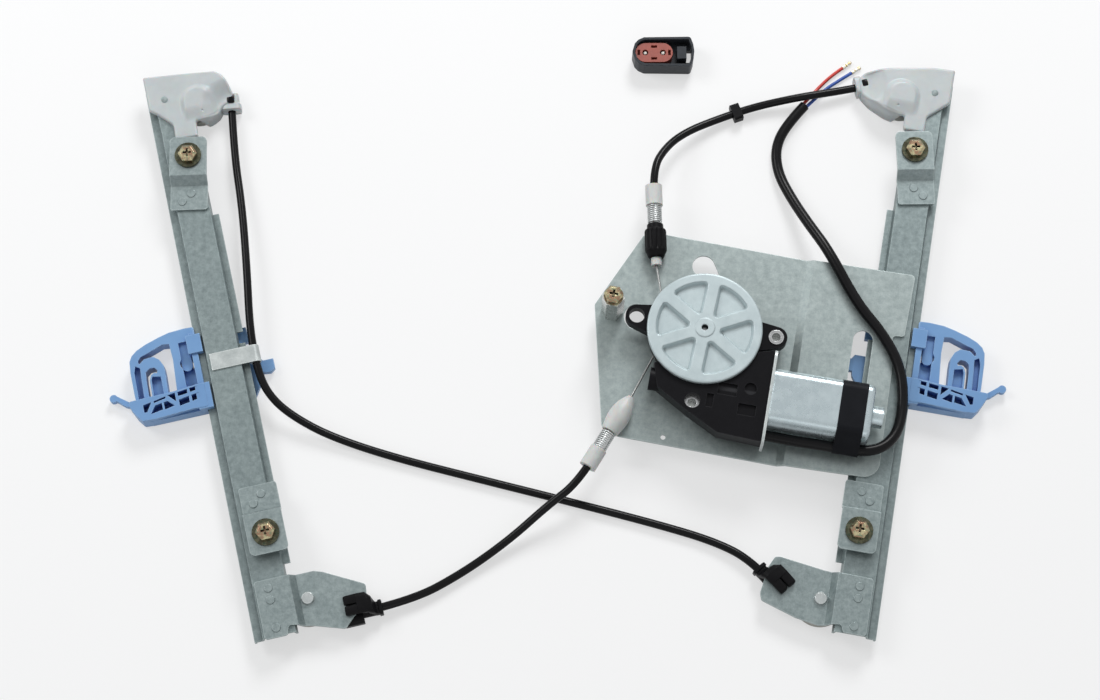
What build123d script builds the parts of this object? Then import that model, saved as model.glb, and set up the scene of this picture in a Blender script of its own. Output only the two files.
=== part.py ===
from build123d import *
import math
import os

os.makedirs("parts", exist_ok=True)

# A twin-rail cable window regulator lies on a table, motor side up, as it comes out of its box.
# Each rail has its own frame: s runs across it from its outer edge towards the middle of the door,
# u runs up it from its foot, and z is the height above the table. The right rail is a mirror image.
LEFT, RIGHT = 1, -1
SIDES = {"left": LEFT, "right": RIGHT}

# Feet of the two rails on the table, and how far their tops lean outwards, in degrees
left_foot_x, left_foot_y, left_lean = -219.7, -234.5, 13.2
right_foot_x, right_foot_y, right_lean = 225.7, -232.7, -10.2

# Rail: a roll-formed hat section with a guide flange outside and a short flange inside
rail_length = 440.0
rail_width = 36.5
rail_sheet = 1.5
guide_flange = 7.0
web_edge = 32.0
wall_run = 1.2
flange_level = 10.0
web_level = 16.0
lip_drop = 3.0
inner_flange_foot = 52.0
inner_flange_head = 330.0
notch_place_share = 0.62
notch_length = 9.0
web_top = web_level + rail_sheet

# Cable and pulleys: the cable runs behind the web, level with the pulleys
cable_radius = 0.85
cable_line = 26.5
cable_level = 6.0
cable_gap = 0.35
pulley_thickness = 6.8
pulley_flange = 1.8
groove_floor = 2.0
bottom_wrap_radius = 17.0
top_wrap_radius = 12.0
bottom_pin_radius = 4.0
top_pin_radius = 3.0
pin_clearance = 0.05
bottom_pulley_u = 22.7
top_pulley_u = 421.5

# Brackets that hold the rails to the door, with their screws
bracket_sheet = 2.0
bracket_rise = 7.5
upper_screw_s, upper_screw_u, upper_bracket_turn = 23.5, 375.5, -11.0
lower_screw_s, lower_screw_u = 24.3, 74.0
bracket_half_width = 14.0
bracket_pad = 15.3
upper_slope_run, upper_foot_run = 6.0, 20.0
lower_slope_run, lower_foot_run = 2.5, 20.5
bracket_corner = 4.0
clinch_radius, clinch_height = 3.2, 0.7
screw_radius = 4.0
screw_clearance = 0.3
screw_head_across = 12.5
screw_head_height = 5.0
screw_shank_gap = 0.5
recess_width, recess_depth = 1.6, 2.4
washer_radius, washer_thickness = 10.0, 1.6

# Pulley plates at the rail feet
end_sheet = 2.0
end_plate_start, end_plate_reach = 8.0, 79.0
end_plate_low, end_plate_height = -5.0, 55.0
end_joggle_s, end_joggle_run = 33.0, 4.5
end_plate_level = 11.0
pin_head_radius, pin_head_height = 7.0, 2.2
pin_dome_radius, pin_dome_height = 5.2, 2.6
end_plate_corner = 2.5

# Moulded pulley housings at the rail heads
housing_width, housing_height, housing_foot = 70.0, 60.0, 391.0
housing_skin = 3.0
housing_wall = 2.2
housing_corner = 1.6
dome_radius, dome_height = 12.0, 2.6
chamber_share = 0.47
rivet_s, rivet_u, rivet_hole_radius = 14.0, 428.0, 2.6
neck_width, neck_height, neck_length = 12.0, 11.6, 12.0
collar_width, collar_thickness, collar_height = 15.0, 4.5, 12.4
collar_corner = 4.5
neck_window = 7.0
conduit_radius = 3.0

# Sliders: blue mouldings that grip the guide flange and carry the glass
slider_reach, slider_height, slider_foot = 51.0, 67.0, 179.0
slider_floor, slider_top = 1.6, 19.0
slider_arch_top = 13.0
slider_plate_top = 6.4
slider_inner_reach = 45.0
slider_gap = 0.6
panel_inner, panel_outer = -0.9, -14.8
jaw_reach = 7.0
jaw_back = -6.0
lower_jaw_height, upper_jaw_height, upper_jaw_drop = 19.7, 14.5, 8.5
jaw_top = 17.2
grip_rod = 4.6
pocket_depth = 9.0
recess_sink = 4.5
bar_height = 20.0
rib_corner = 1.0
tongue_width = 8.0
shoe_start, shoe_end = 9.8, 22.6
channel_half, channel_floor = 1.6, 3.9
nipple_radius, nipple_length, nipple_bore = 2.7, 7.0, 1.25
nipple_clearance = 0.15
nipple_first_u, nipple_second_u = 189.0, 231.0
hook_end_radius = 3.0

# Motor plate, welded to the web of the right rail, with a joggle down to the gear side
plate_start, plate_reach = 9.0, 233.0
plate_foot, plate_height = 114.5, 164.0
plate_sheet = 2.0
plate_drop = 4.0
plate_joggle_s, plate_joggle_run = 84.5, 5.5
plate_corner = 12.0
plate_top = web_top + plate_sheet
gear_side_top = plate_top - plate_drop
slot_s, slot_low_u, slot_high_u, slot_width = 40.8, 160.0, 228.0, 14.6
teardrop_s, teardrop_u, teardrop_radius, teardrop_run = 166.5, 258.5, 8.5, 16.0
tooling_s, tooling_u, tooling_radius = 174.9, 121.3, 1.9

# Gear motor: the drum below, the worm wheel above it, and a pressed steel cover on top
gear_s, gear_u = 158.2, 200.0
worm_offset = 42.0
motor_level = 34.8
drum_floor, drum_top = 16.4, 27.8
drum_rim_radius, drum_wrap_radius = 27.6, 25.5
drum_level, drum_lead = 23.9, 1.4
shaft_radius = 4.0
gearbox_floor, gearbox_skin, gearbox_top = 28.4, 2.4, 43.3
gearbox_radius, cavity_radius = 40.8, 38.8
wheel_thickness, wheel_radius, tooth_depth, tooth_count = 7.0, 37.1, 1.9, 73
cover_radius, cover_top, cover_sheet, cover_rim = 42.4, 47.0, 1.4, 3.4
pocket_outer, spoke_half, pocket_round, pocket_sink = 36.0, 4.0, 3.0, 3.6
hub_radius, hub_ring, hub_hole_radius = 7.4, 0.6, 2.5
spoke_turn = 62.5
ear_radius, ear_top = 8.3, 36.5
bush_radius, bush_bore, bush_proud = 5.6, 3.2, 0.8
open_ear_radius = 5.7
left_ear_s, left_ear_u = 209.0, 204.2
right_ear_s, right_ear_u = 105.3, 205.2
bottom_ear_s, bottom_ear_u = 158.4, 144.6
ear_sight_radius, ear_sight_shift = 10.0, 6.0
barrel_radius, barrel_end = 8.4, 192.0
worm_radius, worm_length, worm_bore = 4.5, 30.0, 6.0
worm_bore_end, shaft_end = 178.0, 188.0
motor_shaft_radius = 2.5
block_rise, block_reach, block_height = 2.5, 86.0, 70.5
block_recesses = ((134.5, 157.5, 14.0, 9.0), (118.5, 144.3, 13.0, 8.5), (146.0, 147.0, 5.0, 10.0))
block_recess_depth = 2.0
block_boss_s, block_boss_u, block_boss_radius = 118.0, 160.8, 4.5
pocket_slope = 30.0
cable_seat, wrap_angle, wrap_share = 3.0, 150.0, 0.98
brush_width, brush_length, brush_depth = 4.0, 7.0, 5.0
flange_bore = 7.0
motor_screw_head, motor_screw_rise, motor_screw_grip = 6.0, 3.0, 16.0

# Motor: a flatted steel yoke on a steel flange, with a bearing nose at its far end
flange_face, flange_sheet = 104.5, 2.0
flange_low, flange_high, flange_floor, flange_top = 120.0, 193.0, 21.2, 48.0
flange_corner = 6.0
yoke_radius, yoke_half, yoke_wall = 22.7, 14.5, 1.6
yoke_end, yoke_round, yoke_blend = 28.3, 3.0, 6.0
nose_radius, nose_end, nose_wall = 7.8, 19.8, 1.5
tape_start, tape_end, tape_thickness = 33.6, 52.6, 0.5
armature_radius, armature_start, armature_length = 12.4, 44.0, 40.0
commutator_radius, commutator_start, commutator_length = 8.0, 86.5, 10.0
magnet_thickness, magnet_gap = 5.0, 0.4
armature_slots, armature_slot_width, armature_slot_depth = 8, 2.0, 5.0
brush_gap, brush_ring = 1.2, 6.0
lead_radius = 4.0
lead_u, lead_level = 130.9, 32.0

# Cable adjusters: ferrule, spring and sleeve or boot at the gear end of two conduits
upper_adjuster_s, upper_adjuster_u, upper_adjuster_turn = 201.3, 249.5, 11.4
lower_adjuster_s, lower_adjuster_u, lower_adjuster_turn = 203.0, 145.0, 158.9
nipple_end_radius, nipple_end_length = 4.0, 6.0
sleeve_radius, sleeve_length, sleeve_rib, sleeve_ribs = 8.4, 27.0, 0.7, 14
spring_radius, spring_wire, spring_turns = 5.6, 1.7, 9
ferrule_radius, ferrule_length = 6.4, 16.0
boot_radius, boot_length, boot_tip, boot_heel = 8.1, 31.0, 2.2, 6.2

# Standoff: a tall hexagon spacer on the plate with a screw in its top
standoff_s, standoff_u, standoff_across, standoff_height = 228.0, 211.0, 14.5, 34.0
flange_head_radius, flange_head_height = 7.3, 1.6

# Conduit end fittings at the rail feet, and the strap that ties one conduit to the left rail
fitting_length, fitting_width = 14.0, 18.0
fitting_height = 2 * (end_plate_level - cable_level)
fitting_neck, fitting_neck_radius = 11.0, 4.9
left_fitting_s, left_fitting_u, left_fitting_turn = 66.0, 5.7, 0.0
right_fitting_s, right_fitting_u, right_fitting_turn = 68.8, 21.2, 38.8
clip_s, clip_u, clip_width = 41.6, 212.5, 13.0
clip_start, clip_sheet = 9.0, 1.2
clip_level = web_top - conduit_radius

# Loose connector that comes with the lead
connector_x, connector_y = 79.9, 228.6
connector_length, connector_width, connector_height = 48.0, 25.0, 15.0
connector_wall = 2.0
connector_corner = 2.5
insert_length, insert_width, insert_depth, insert_gap = 29.0, 16.2, 10.0, 0.4
loop_reach, loop_width, step_length = 4.0, 10.3, 7.2
contact_radius, contact_pitch, contact_length, contact_drop = 1.2, 13.7, 6.0, 1.0
socket_radius, key_length, key_width = 2.3, 4.6, 2.0

# Conduits, lead and wires: the points their runs pass on the way, on and over the table
bend_share = 0.45
collar_run, left_collar_run = 11.0, 35.0
ferrule_run, left_seat_run, right_seat_run = 22.0, 36.0, 22.0
clip_run, lead_run, lead_sag = 18.0, 19.0, 0.4
wire_radius = 1.3
upper_conduit_points = [
    (199.0, 195.2, 8.3), (180.0, 191.8, 8.3), (150.0, 186.0, 5.2), (122.0, 176.0, 5.0),
    (96.0, 163.0, 9.5), (80.0, 147.0, 17.0),
]
lower_conduit_points = [(-10.0, -134.5, 16.0), (-38.0, -158.0, 7.0), (-72.0, -182.0, 3.6)]
upper_cross_points = [(-242.0, 100.0, 10.5), (-236.0, 48.0, 14.0)]
lower_cross_points = [
    (-213.0, -53.0, 12.8), (-196.0, -66.0, 9.5), (-170.0, -79.0, 5.0), (-125.0, -94.0, 3.05),
    (-60.0, -111.0, 3.05), (10.0, -129.0, 3.05), (70.0, -145.0, 3.05), (112.0, -158.0, 3.4),
]
lead_points = [
    (244.9, -86.3, 28.0), (251.8, -59.6, 24.5),
    (250.8, -31.0, 24.0), (239.1, -5.5, 24.0), (220.2, 19.3, 24.2), (201.2, 60.3, 24.2),
    (187.0, 86.0, 16.0), (175.5, 110.0, 8.0), (166.5, 132.0, 4.1), (165.5, 153.0, 4.1),
    (175.0, 172.0, 4.1), (189.0, 187.5, 4.1),
]
red_wire_points = [
    (186.8, 187.5, 4.1), (193.0, 194.4, 3.2), (201.0, 204.0, 1.5), (211.0, 214.0, 1.5), (220.0, 220.5, 1.6),
]
blue_wire_points = [
    (189.2, 185.3, 4.1), (197.0, 193.2, 3.2), (206.0, 202.5, 1.5), (217.0, 210.0, 1.6), (227.0, 216.5, 1.5),
]
terminal_length, terminal_sheet = 7.0, 0.6
tie_count = 2
tie_length, tie_width, tie_height, tie_corner = 7.0, 13.0, 8.4, 1.5

cut_over = 1.0
cut_through = 60.0


def rail_plane(side, level=0.0):
    """The table-level frame of one rail, raised to a level: x across the rail, y up it."""
    if side == LEFT:
        foot, lean = (left_foot_x, left_foot_y, level), left_lean
    else:
        foot, lean = (right_foot_x, right_foot_y, level), right_lean
    return Plane(origin=foot, x_dir=Vector(1, 0, 0).rotate(Axis.Z, lean), z_dir=(0, 0, 1))


def place(side, s, u, level=0.0):
    """A point given in a rail's own measures, in the part's frame."""
    return rail_plane(side).from_local_coords(Vector(side * s, u, level))


def turned(side, s, u, turn=0.0, level=0.0):
    """A plane at a point of a rail, turned about the vertical, the same way on both sides."""
    base = rail_plane(side, level)
    centre = place(side, s, u, level)
    return Plane(origin=centre, x_dir=base.x_dir, z_dir=base.z_dir).rotated((0, 0, side * turn))


def across_plane(side, u=0.0):
    """A plane across a rail: x is side times s, y is the height, and it faces down the rail."""
    base = rail_plane(side)
    return Plane(origin=place(side, 0, u), x_dir=base.x_dir, z_dir=-base.y_dir)


def motor_plane(s, u=None, level=motor_level):
    """A plane square to the motor's axis at a distance s, facing away from the rail."""
    base = rail_plane(RIGHT)
    centre = place(RIGHT, s, gear_u - worm_offset if u is None else u, level)
    return Plane(origin=centre, x_dir=base.y_dir, z_dir=-base.x_dir)


def spread(side, start, width, foot, height, shares):
    """Outline points in a rail's frame from shares of a width and a height."""
    return [(side * (start + a * width), foot + b * height) for a, b in shares]


# Rails
for name, side in SIDES.items():
    hat_section = [
        (0, flange_level - lip_drop),
        (rail_sheet, flange_level - lip_drop),
        (rail_sheet, flange_level),
        (guide_flange, flange_level),
        (guide_flange + wall_run, web_level),
        (web_edge - rail_sheet - wall_run, web_level),
        (web_edge - rail_sheet, flange_level),
        (rail_width, flange_level),
        (rail_width, flange_level + rail_sheet),
        (web_edge, flange_level + rail_sheet),
        (web_edge - wall_run, web_top),
        (guide_flange + wall_run - rail_sheet, web_top),
        (guide_flange - rail_sheet, flange_level + rail_sheet),
        (0, flange_level + rail_sheet),
    ]
    with BuildPart() as rail:
        with BuildSketch(across_plane(side)) as section:
            with BuildLine():
                Polyline([(side * s, z) for s, z in hat_section], close=True)
            make_face()
        extrude(amount=-rail_length)
        # The inner flange stops short of both ends, and a notch marks its middle
        flange_width = rail_width - web_edge + cut_over
        notch_u = inner_flange_foot + (inner_flange_head - inner_flange_foot) * notch_place_share
        cuts = [
            (-cut_over, inner_flange_foot),
            (inner_flange_head, rail_length + cut_over),
            (notch_u, notch_u + notch_length),
        ]
        with BuildSketch(rail_plane(side, flange_level - cut_over)):
            for low, high in cuts:
                with Locations((side * (web_edge + flange_width / 2), (low + high) / 2)):
                    Rectangle(flange_width, high - low)
        extrude(amount=rail_sheet + 2 * cut_over, mode=Mode.SUBTRACT)
        with BuildSketch(rail_plane(side, web_level - cut_over)):
            with Locations((side * rivet_s, rivet_u)):
                Circle(rivet_hole_radius)
        extrude(amount=rail_sheet + 2 * cut_over, mode=Mode.SUBTRACT)
    rail.part.label = f"rail_{name}"
    export_step(rail.part, f"parts/rail_{name}.step")


# Bent brackets: a foot clinched to the web, a slope, and a raised pad for the screw
screw_places = []


def make_bracket(name, side, screw_s, screw_u, turn, way, slope_run, foot_run):
    pad = turned(side, screw_s, screw_u, turn)
    profile_plane = Plane(origin=pad.origin, x_dir=pad.y_dir * way, z_dir=pad.x_dir * way)
    slope_start = -bracket_pad
    slope_end = slope_start - slope_run
    foot_end = slope_end - foot_run
    low, high = web_top, web_top + bracket_rise
    knee = bracket_sheet / 3
    profile = [
        (foot_end, low),
        (slope_end + knee, low),
        (slope_start + knee, high),
        (bracket_pad, high),
        (bracket_pad, high + bracket_sheet),
        (slope_start - knee, high + bracket_sheet),
        (slope_end - knee, low + bracket_sheet),
        (foot_end, low + bracket_sheet),
    ]
    with BuildPart() as bracket:
        with BuildSketch(profile_plane):
            with BuildLine():
                Polyline(profile, close=True)
            make_face()
        extrude(amount=bracket_half_width, both=True)
        corners = bracket.edges().filter_by(Axis.Z).group_by(Axis(pad.origin, pad.y_dir * way))
        fillet(corners[-1], bracket_corner)
        fillet(corners[0], bracket_corner / 2)
        with BuildSketch(pad):
            Circle(screw_radius + screw_clearance)
        extrude(amount=cut_through, mode=Mode.SUBTRACT)
        with BuildSketch(pad.offset(low + bracket_sheet)):
            foot_middle = way * (foot_end + foot_run / 2)
            with Locations(
                (-side * clinch_radius * 1.6, foot_middle - clinch_radius),
                (side * clinch_radius / 2, foot_middle + clinch_radius),
            ):
                Circle(clinch_radius)
        extrude(amount=clinch_height, taper=clinch_radius * 6)
    bracket.part.label = name
    export_step(bracket.part, f"parts/{name}.step")
    screw_places.append((pad, high + bracket_sheet, web_top + screw_shank_gap))


for name, side in SIDES.items():
    make_bracket(f"upper_bracket_{name}", side, upper_screw_s, upper_screw_u,
                 upper_bracket_turn, 1, upper_slope_run, upper_foot_run)
    make_bracket(f"lower_bracket_{name}", side, lower_screw_s, lower_screw_u,
                 0.0, -1, lower_slope_run, lower_foot_run)

# Washers, and screws with a domed hexagon head and a cross recess; one more stands on the standoff
with BuildPart() as rail_washers:
    for pad, seat, _ in screw_places:
        with BuildSketch(pad.offset(seat)):
            Circle(washer_radius)
            Circle(screw_radius + screw_clearance, mode=Mode.SUBTRACT)
        extrude(amount=washer_thickness)
rail_washers.part.label = "rail_washers"
export_step(rail_washers.part, "parts/rail_washers.step")

standoff_plane = turned(RIGHT, standoff_s, standoff_u, 0.0, gear_side_top)
with BuildPart() as cross_screws:
    screw_seats = [(pad.offset(seat + washer_thickness), foot, 0.0) for pad, seat, foot in screw_places]
    standoff_top = gear_side_top + standoff_height
    screw_seats.append((standoff_plane.offset(standoff_height), standoff_top - standoff_height / 2,
                        flange_head_height))
    for seat, foot, flange_height in screw_seats:
        with BuildSketch(seat.offset(flange_height)):
            RegularPolygon(screw_head_across / 2, 6, major_radius=False)
        extrude(amount=screw_head_height)
        if flange_height:
            with BuildSketch(seat):
                Circle(flange_head_radius)
            extrude(amount=flange_height)
        with BuildSketch(seat):
            Circle(screw_radius)
        extrude(amount=foot - seat.origin.Z)
        with BuildSketch(seat.offset(flange_height + screw_head_height - recess_depth)):
            Rectangle(recess_width, screw_head_across / 2)
            Rectangle(screw_head_across / 2, recess_width)
        extrude(amount=recess_depth + cut_over, mode=Mode.SUBTRACT)
    for seat, foot, flange_height in screw_seats:
        top_level = seat.origin.Z + flange_height + screw_head_height
        rims = [
            edge
            for edge in cross_screws.edges()
            if abs(edge.center().Z - top_level) < pin_clearance
            and (edge.center() - seat.origin).cross(Vector(0, 0, 1)).length > screw_head_across / 2.6
            and (edge.center() - seat.origin).cross(Vector(0, 0, 1)).length < screw_head_across
        ]
        chamfer(rims, length=screw_head_height / 3)
cross_screws.part.label = "cross_screws"
export_step(cross_screws.part, "parts/cross_screws.step")

# Pulley plates: clinched to the web, joggled down beside it, with the pulley under the low part
end_left_shares = [
    (0.0, 0.065), (0.0, 0.85), (0.55, 0.85), (0.63, 0.81), (0.99, 0.525), (0.975, 0.325),
    (0.73, 0.0), (0.44, 0.14), (0.235, 0.19), (0.215, 0.065),
]
end_right_shares = [
    (0.0, 0.09), (0.0, 0.86), (0.3, 0.87), (0.46, 0.89), (0.87, 0.97), (0.915, 0.955),
    (0.965, 0.8), (1.0, 0.45), (0.98, 0.35), (0.65, 0.2), (0.44, 0.15), (0.235, 0.19), (0.215, 0.09),
]
for name, side, shares in (("left", LEFT, end_left_shares), ("right", RIGHT, end_right_shares)):
    joggle_end = end_joggle_s + end_joggle_run
    knee = end_sheet / 3
    profile = [
        (0, web_top),
        (end_joggle_s - knee, web_top),
        (joggle_end - knee, end_plate_level),
        (end_plate_start + end_plate_reach + cut_over, end_plate_level),
        (end_plate_start + end_plate_reach + cut_over, end_plate_level + end_sheet),
        (joggle_end + knee, end_plate_level + end_sheet),
        (end_joggle_s + knee, web_top + end_sheet),
        (0, web_top + end_sheet),
    ]
    with BuildPart() as end_plate:
        with BuildSketch(across_plane(side, end_plate_low - cut_over)):
            with BuildLine():
                Polyline([(side * s, z) for s, z in profile], close=True)
            make_face()
        extrude(amount=-(end_plate_height + 2 * cut_over))
        with BuildSketch(rail_plane(side)) as blank:
            with BuildLine():
                Polyline(
                    spread(side, end_plate_start, end_plate_reach, end_plate_low, end_plate_height, shares),
                    close=True,
                )
            make_face()
            fillet(blank.vertices(), end_plate_corner)
        extrude(amount=cut_through, mode=Mode.INTERSECT)
        pin_s = cable_line + bottom_wrap_radius
        with BuildSketch(turned(side, pin_s, bottom_pulley_u)):
            Circle(bottom_pin_radius)
        extrude(amount=cut_through, mode=Mode.SUBTRACT)
        clinch_s = end_plate_start + clinch_radius * 3
        for clinch_u in (end_plate_height * 0.1, end_plate_height * 0.48, end_plate_height * 0.64):
            with BuildSketch(turned(side, clinch_s, clinch_u, 0.0, web_top + end_sheet)):
                Circle(clinch_radius)
            extrude(amount=clinch_height, taper=clinch_radius * 6)
    end_plate.part.label = f"end_plate_{name}"
    export_step(end_plate.part, f"parts/end_plate_{name}.step")


# Pulleys and their pins
def make_pulley(name, side, s, u, wrap_radius, bore):
    half = pulley_thickness / 2
    floor_radius = wrap_radius - cable_radius - cable_gap
    rim_radius = wrap_radius + pulley_flange
    profile = [
        (bore, -half),
        (rim_radius, -half),
        (rim_radius, -half + pulley_thickness / 8),
        (floor_radius, -groove_floor / 2),
        (floor_radius, groove_floor / 2),
        (rim_radius, half - pulley_thickness / 8),
        (rim_radius, half),
        (bore, half),
    ]
    centre = place(side, s, u, cable_level)
    with BuildPart() as pulley:
        with BuildSketch(Plane(origin=centre, x_dir=(1, 0, 0), z_dir=(0, -1, 0))):
            with BuildLine():
                Polyline(profile, close=True)
            make_face()
        revolve(axis=Axis(centre, (0, 0, 1)))
        # Round windows between hub and rim make the moulding light
        window = (floor_radius - bore) / 5
        with BuildSketch(Plane(origin=centre, z_dir=(0, 0, 1)).offset(-half)):
            with PolarLocations((floor_radius + bore) / 2, 6):
                Circle(window)
        extrude(amount=pulley_thickness / 4, mode=Mode.SUBTRACT)
    pulley.part.label = name
    export_step(pulley.part, f"parts/{name}.step")


bottom_pin_s = cable_line + bottom_wrap_radius
top_pin_s = cable_line + top_wrap_radius
for name, side in SIDES.items():
    make_pulley(f"bottom_pulley_{name}", side, bottom_pin_s, bottom_pulley_u, bottom_wrap_radius,
                bottom_pin_radius + pin_clearance)
    make_pulley(f"top_pulley_{name}", side, top_pin_s, top_pulley_u, top_wrap_radius,
                top_pin_radius + pin_clearance)

with BuildPart() as pulley_pins:
    for side in (LEFT, RIGHT):
        # Bottom pin: a head under the pulley, which the part rests on, and a domed head on the plate
        foot = turned(side, bottom_pin_s, bottom_pulley_u)
        with BuildSketch(foot):
            Circle(pin_head_radius)
        extrude(amount=pin_head_height)
        with BuildSketch(foot):
            Circle(bottom_pin_radius)
        extrude(amount=end_plate_level + end_sheet)
        dome_seat = foot.offset(end_plate_level + end_sheet)
        with BuildSketch(dome_seat):
            Circle(pin_dome_radius)
        extrude(amount=pin_dome_height, taper=pin_dome_radius * 4)
        # Top pin: moulded into the housing's dome, with its head under the pulley
        foot = turned(side, top_pin_s, top_pulley_u, 0.0, pin_head_height / 4)
        with BuildSketch(foot):
            Circle(top_pin_radius * 1.7)
        extrude(amount=pin_head_height * 0.75)
        with BuildSketch(foot):
            Circle(top_pin_radius)
        extrude(amount=web_top + housing_skin - pin_head_height / 4)
pulley_pins.part.label = "pulley_pins"
export_step(pulley_pins.part, "parts/pulley_pins.step")

# Pulley housings: a skin over the rail's head, a walled chamber round the pulley, and a conduit neck
housing_left_shares = [
    (0.01, 0.99), (0.81, 0.875), (0.90, 0.72), (0.945, 0.50), (0.79, 0.45), (0.74, 0.33), (0.66, 0.35),
    (0.54, 0.29), (0.484, 0.275), (0.48, 0.025), (0.23, 0.04), (0.235, 0.25), (0.10, 0.425), (0.01, 0.51),
]
housing_right_shares = [
    (0.01, 0.985), (0.25, 0.975), (0.73, 0.875), (0.98, 0.81), (1.06, 0.73), (0.99, 0.47), (0.88, 0.39),
    (0.70, 0.33), (0.54, 0.29), (0.49, 0.275), (0.485, 0.045), (0.25, 0.045), (0.245, 0.27), (0.02, 0.51),
]
chamber_left_shares = [
    (chamber_share, 0.91), (0.81, 0.865), (0.89, 0.72), (0.94, 0.50), (0.79, 0.45), (0.74, 0.335),
    (0.66, 0.355), (0.54, 0.295), (chamber_share, 0.28),
]
chamber_right_shares = [
    (chamber_share, 0.91), (0.73, 0.865), (0.975, 0.80), (1.05, 0.73), (0.98, 0.475), (0.88, 0.395),
    (0.70, 0.335), (0.54, 0.295), (chamber_share, 0.28),
]
housing_specs = (
    ("left", LEFT, housing_left_shares, chamber_left_shares, (0.885, 0.36), -98.3),
    ("right", RIGHT, housing_right_shares, chamber_right_shares, (1.06, 0.61), -22.0),
)
collar_places = {}
pulley_room_radius = top_wrap_radius + pulley_flange + slider_gap
chamber_start = chamber_share * housing_width
for name, side, outline_shares, chamber_shares, neck_share, exit_turn in housing_specs:
    size = (0, housing_width, housing_foot, housing_height)
    with BuildPart() as housing:
        with BuildSketch(rail_plane(side, web_top)) as skin:
            with BuildLine():
                Polyline(spread(side, *size, outline_shares), close=True)
            make_face()
            fillet(skin.vertices(), housing_corner)
        extrude(amount=housing_skin)
        with BuildSketch(rail_plane(side)) as chamber:
            with BuildLine():
                Polyline(spread(side, *size, chamber_shares), close=True)
            make_face()
            with Locations((side * top_pin_s, top_pulley_u)):
                Circle(pulley_room_radius + housing_wall)
            with Locations((side * (chamber_start - housing_width / 2), top_pulley_u)):
                Rectangle(housing_width, housing_height, mode=Mode.SUBTRACT)
        extrude(amount=web_top)
        with BuildSketch(rail_plane(side)) as hollow:
            with BuildLine():
                Polyline(spread(side, *size, chamber_shares), close=True)
            make_face()
            offset(amount=-housing_wall, mode=Mode.REPLACE)
        extrude(amount=web_top, mode=Mode.SUBTRACT)
        # The chamber is open towards the rail, where the cable and the pulley's edge come in
        with BuildSketch(turned(side, chamber_start, top_pulley_u)):
            Rectangle(2 * (housing_wall + cut_over), housing_height * 0.8)
        extrude(amount=web_top, mode=Mode.SUBTRACT)
        # A boss carries the pulley's pin, and a shallow dome shows over it
        with BuildSketch(turned(side, top_pin_s, top_pulley_u, 0.0, web_top)):
            Circle(top_pin_radius + housing_wall)
        extrude(amount=-(web_top - cable_level - pulley_thickness / 2 - slider_gap))
        with BuildSketch(turned(side, top_pin_s, top_pulley_u, 0.0, web_top + housing_skin)):
            Circle(dome_radius)
            with Locations((0, -dome_radius / 2)):
                Rectangle(2 * dome_radius, dome_radius)
        extrude(amount=dome_height, taper=dome_radius * 2)
        dome_edges = housing.faces().filter_by(Axis.Z).sort_by(Axis.Z)[-1].edges()
        fillet(dome_edges, dome_height / 3)
        with BuildSketch(turned(side, top_pin_s, top_pulley_u)):
            Circle(top_pin_radius)
        extrude(amount=web_top + housing_skin, mode=Mode.SUBTRACT)
        # The neck and its collar hold the conduit's end
        neck_s, neck_u = neck_share[0] * housing_width, housing_foot + neck_share[1] * housing_height
        exit_plane = turned(side, neck_s, neck_u, exit_turn, cable_level + pin_head_height / 4)
        along = exit_plane.x_dir * side
        neck_end = Plane(origin=exit_plane.origin, x_dir=exit_plane.y_dir, z_dir=along)
        with BuildSketch(neck_end.offset(-neck_length)):
            Rectangle(neck_width, neck_height)
        extrude(amount=neck_length)
        with BuildSketch(neck_end.offset(-collar_thickness)):
            RectangleRounded(collar_width, collar_height - pin_clearance, collar_corner)
        extrude(amount=collar_thickness)
        with BuildSketch(neck_end.offset(-neck_length)):
            Circle(conduit_radius)
        extrude(amount=neck_length + cut_over, mode=Mode.SUBTRACT)
        with BuildSketch(neck_end.offset(-neck_length * 3)):
            Circle(2 * cable_radius)
        extrude(amount=2 * neck_length + cut_over, mode=Mode.SUBTRACT)
        with BuildSketch(turned(side, top_pin_s, top_pulley_u)):
            Circle(pulley_room_radius)
        extrude(amount=cable_level + pulley_thickness / 2 + slider_gap, mode=Mode.SUBTRACT)
        window = neck_end.offset(-collar_thickness - neck_window / 2)
        with BuildSketch(Plane(origin=window.origin, x_dir=along, z_dir=(0, 0, 1))):
            Rectangle(neck_window, 2 * conduit_radius)
        extrude(amount=cut_through, mode=Mode.SUBTRACT)
        collar_places[name] = neck_end
        with BuildSketch(rail_plane(side)):
            with Locations((side * rivet_s, rivet_u)):
                Circle(rivet_hole_radius)
        extrude(amount=cut_through, mode=Mode.SUBTRACT)
    housing.part.label = f"pulley_housing_{name}"
    export_step(housing.part, f"parts/pulley_housing_{name}.step")

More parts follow.
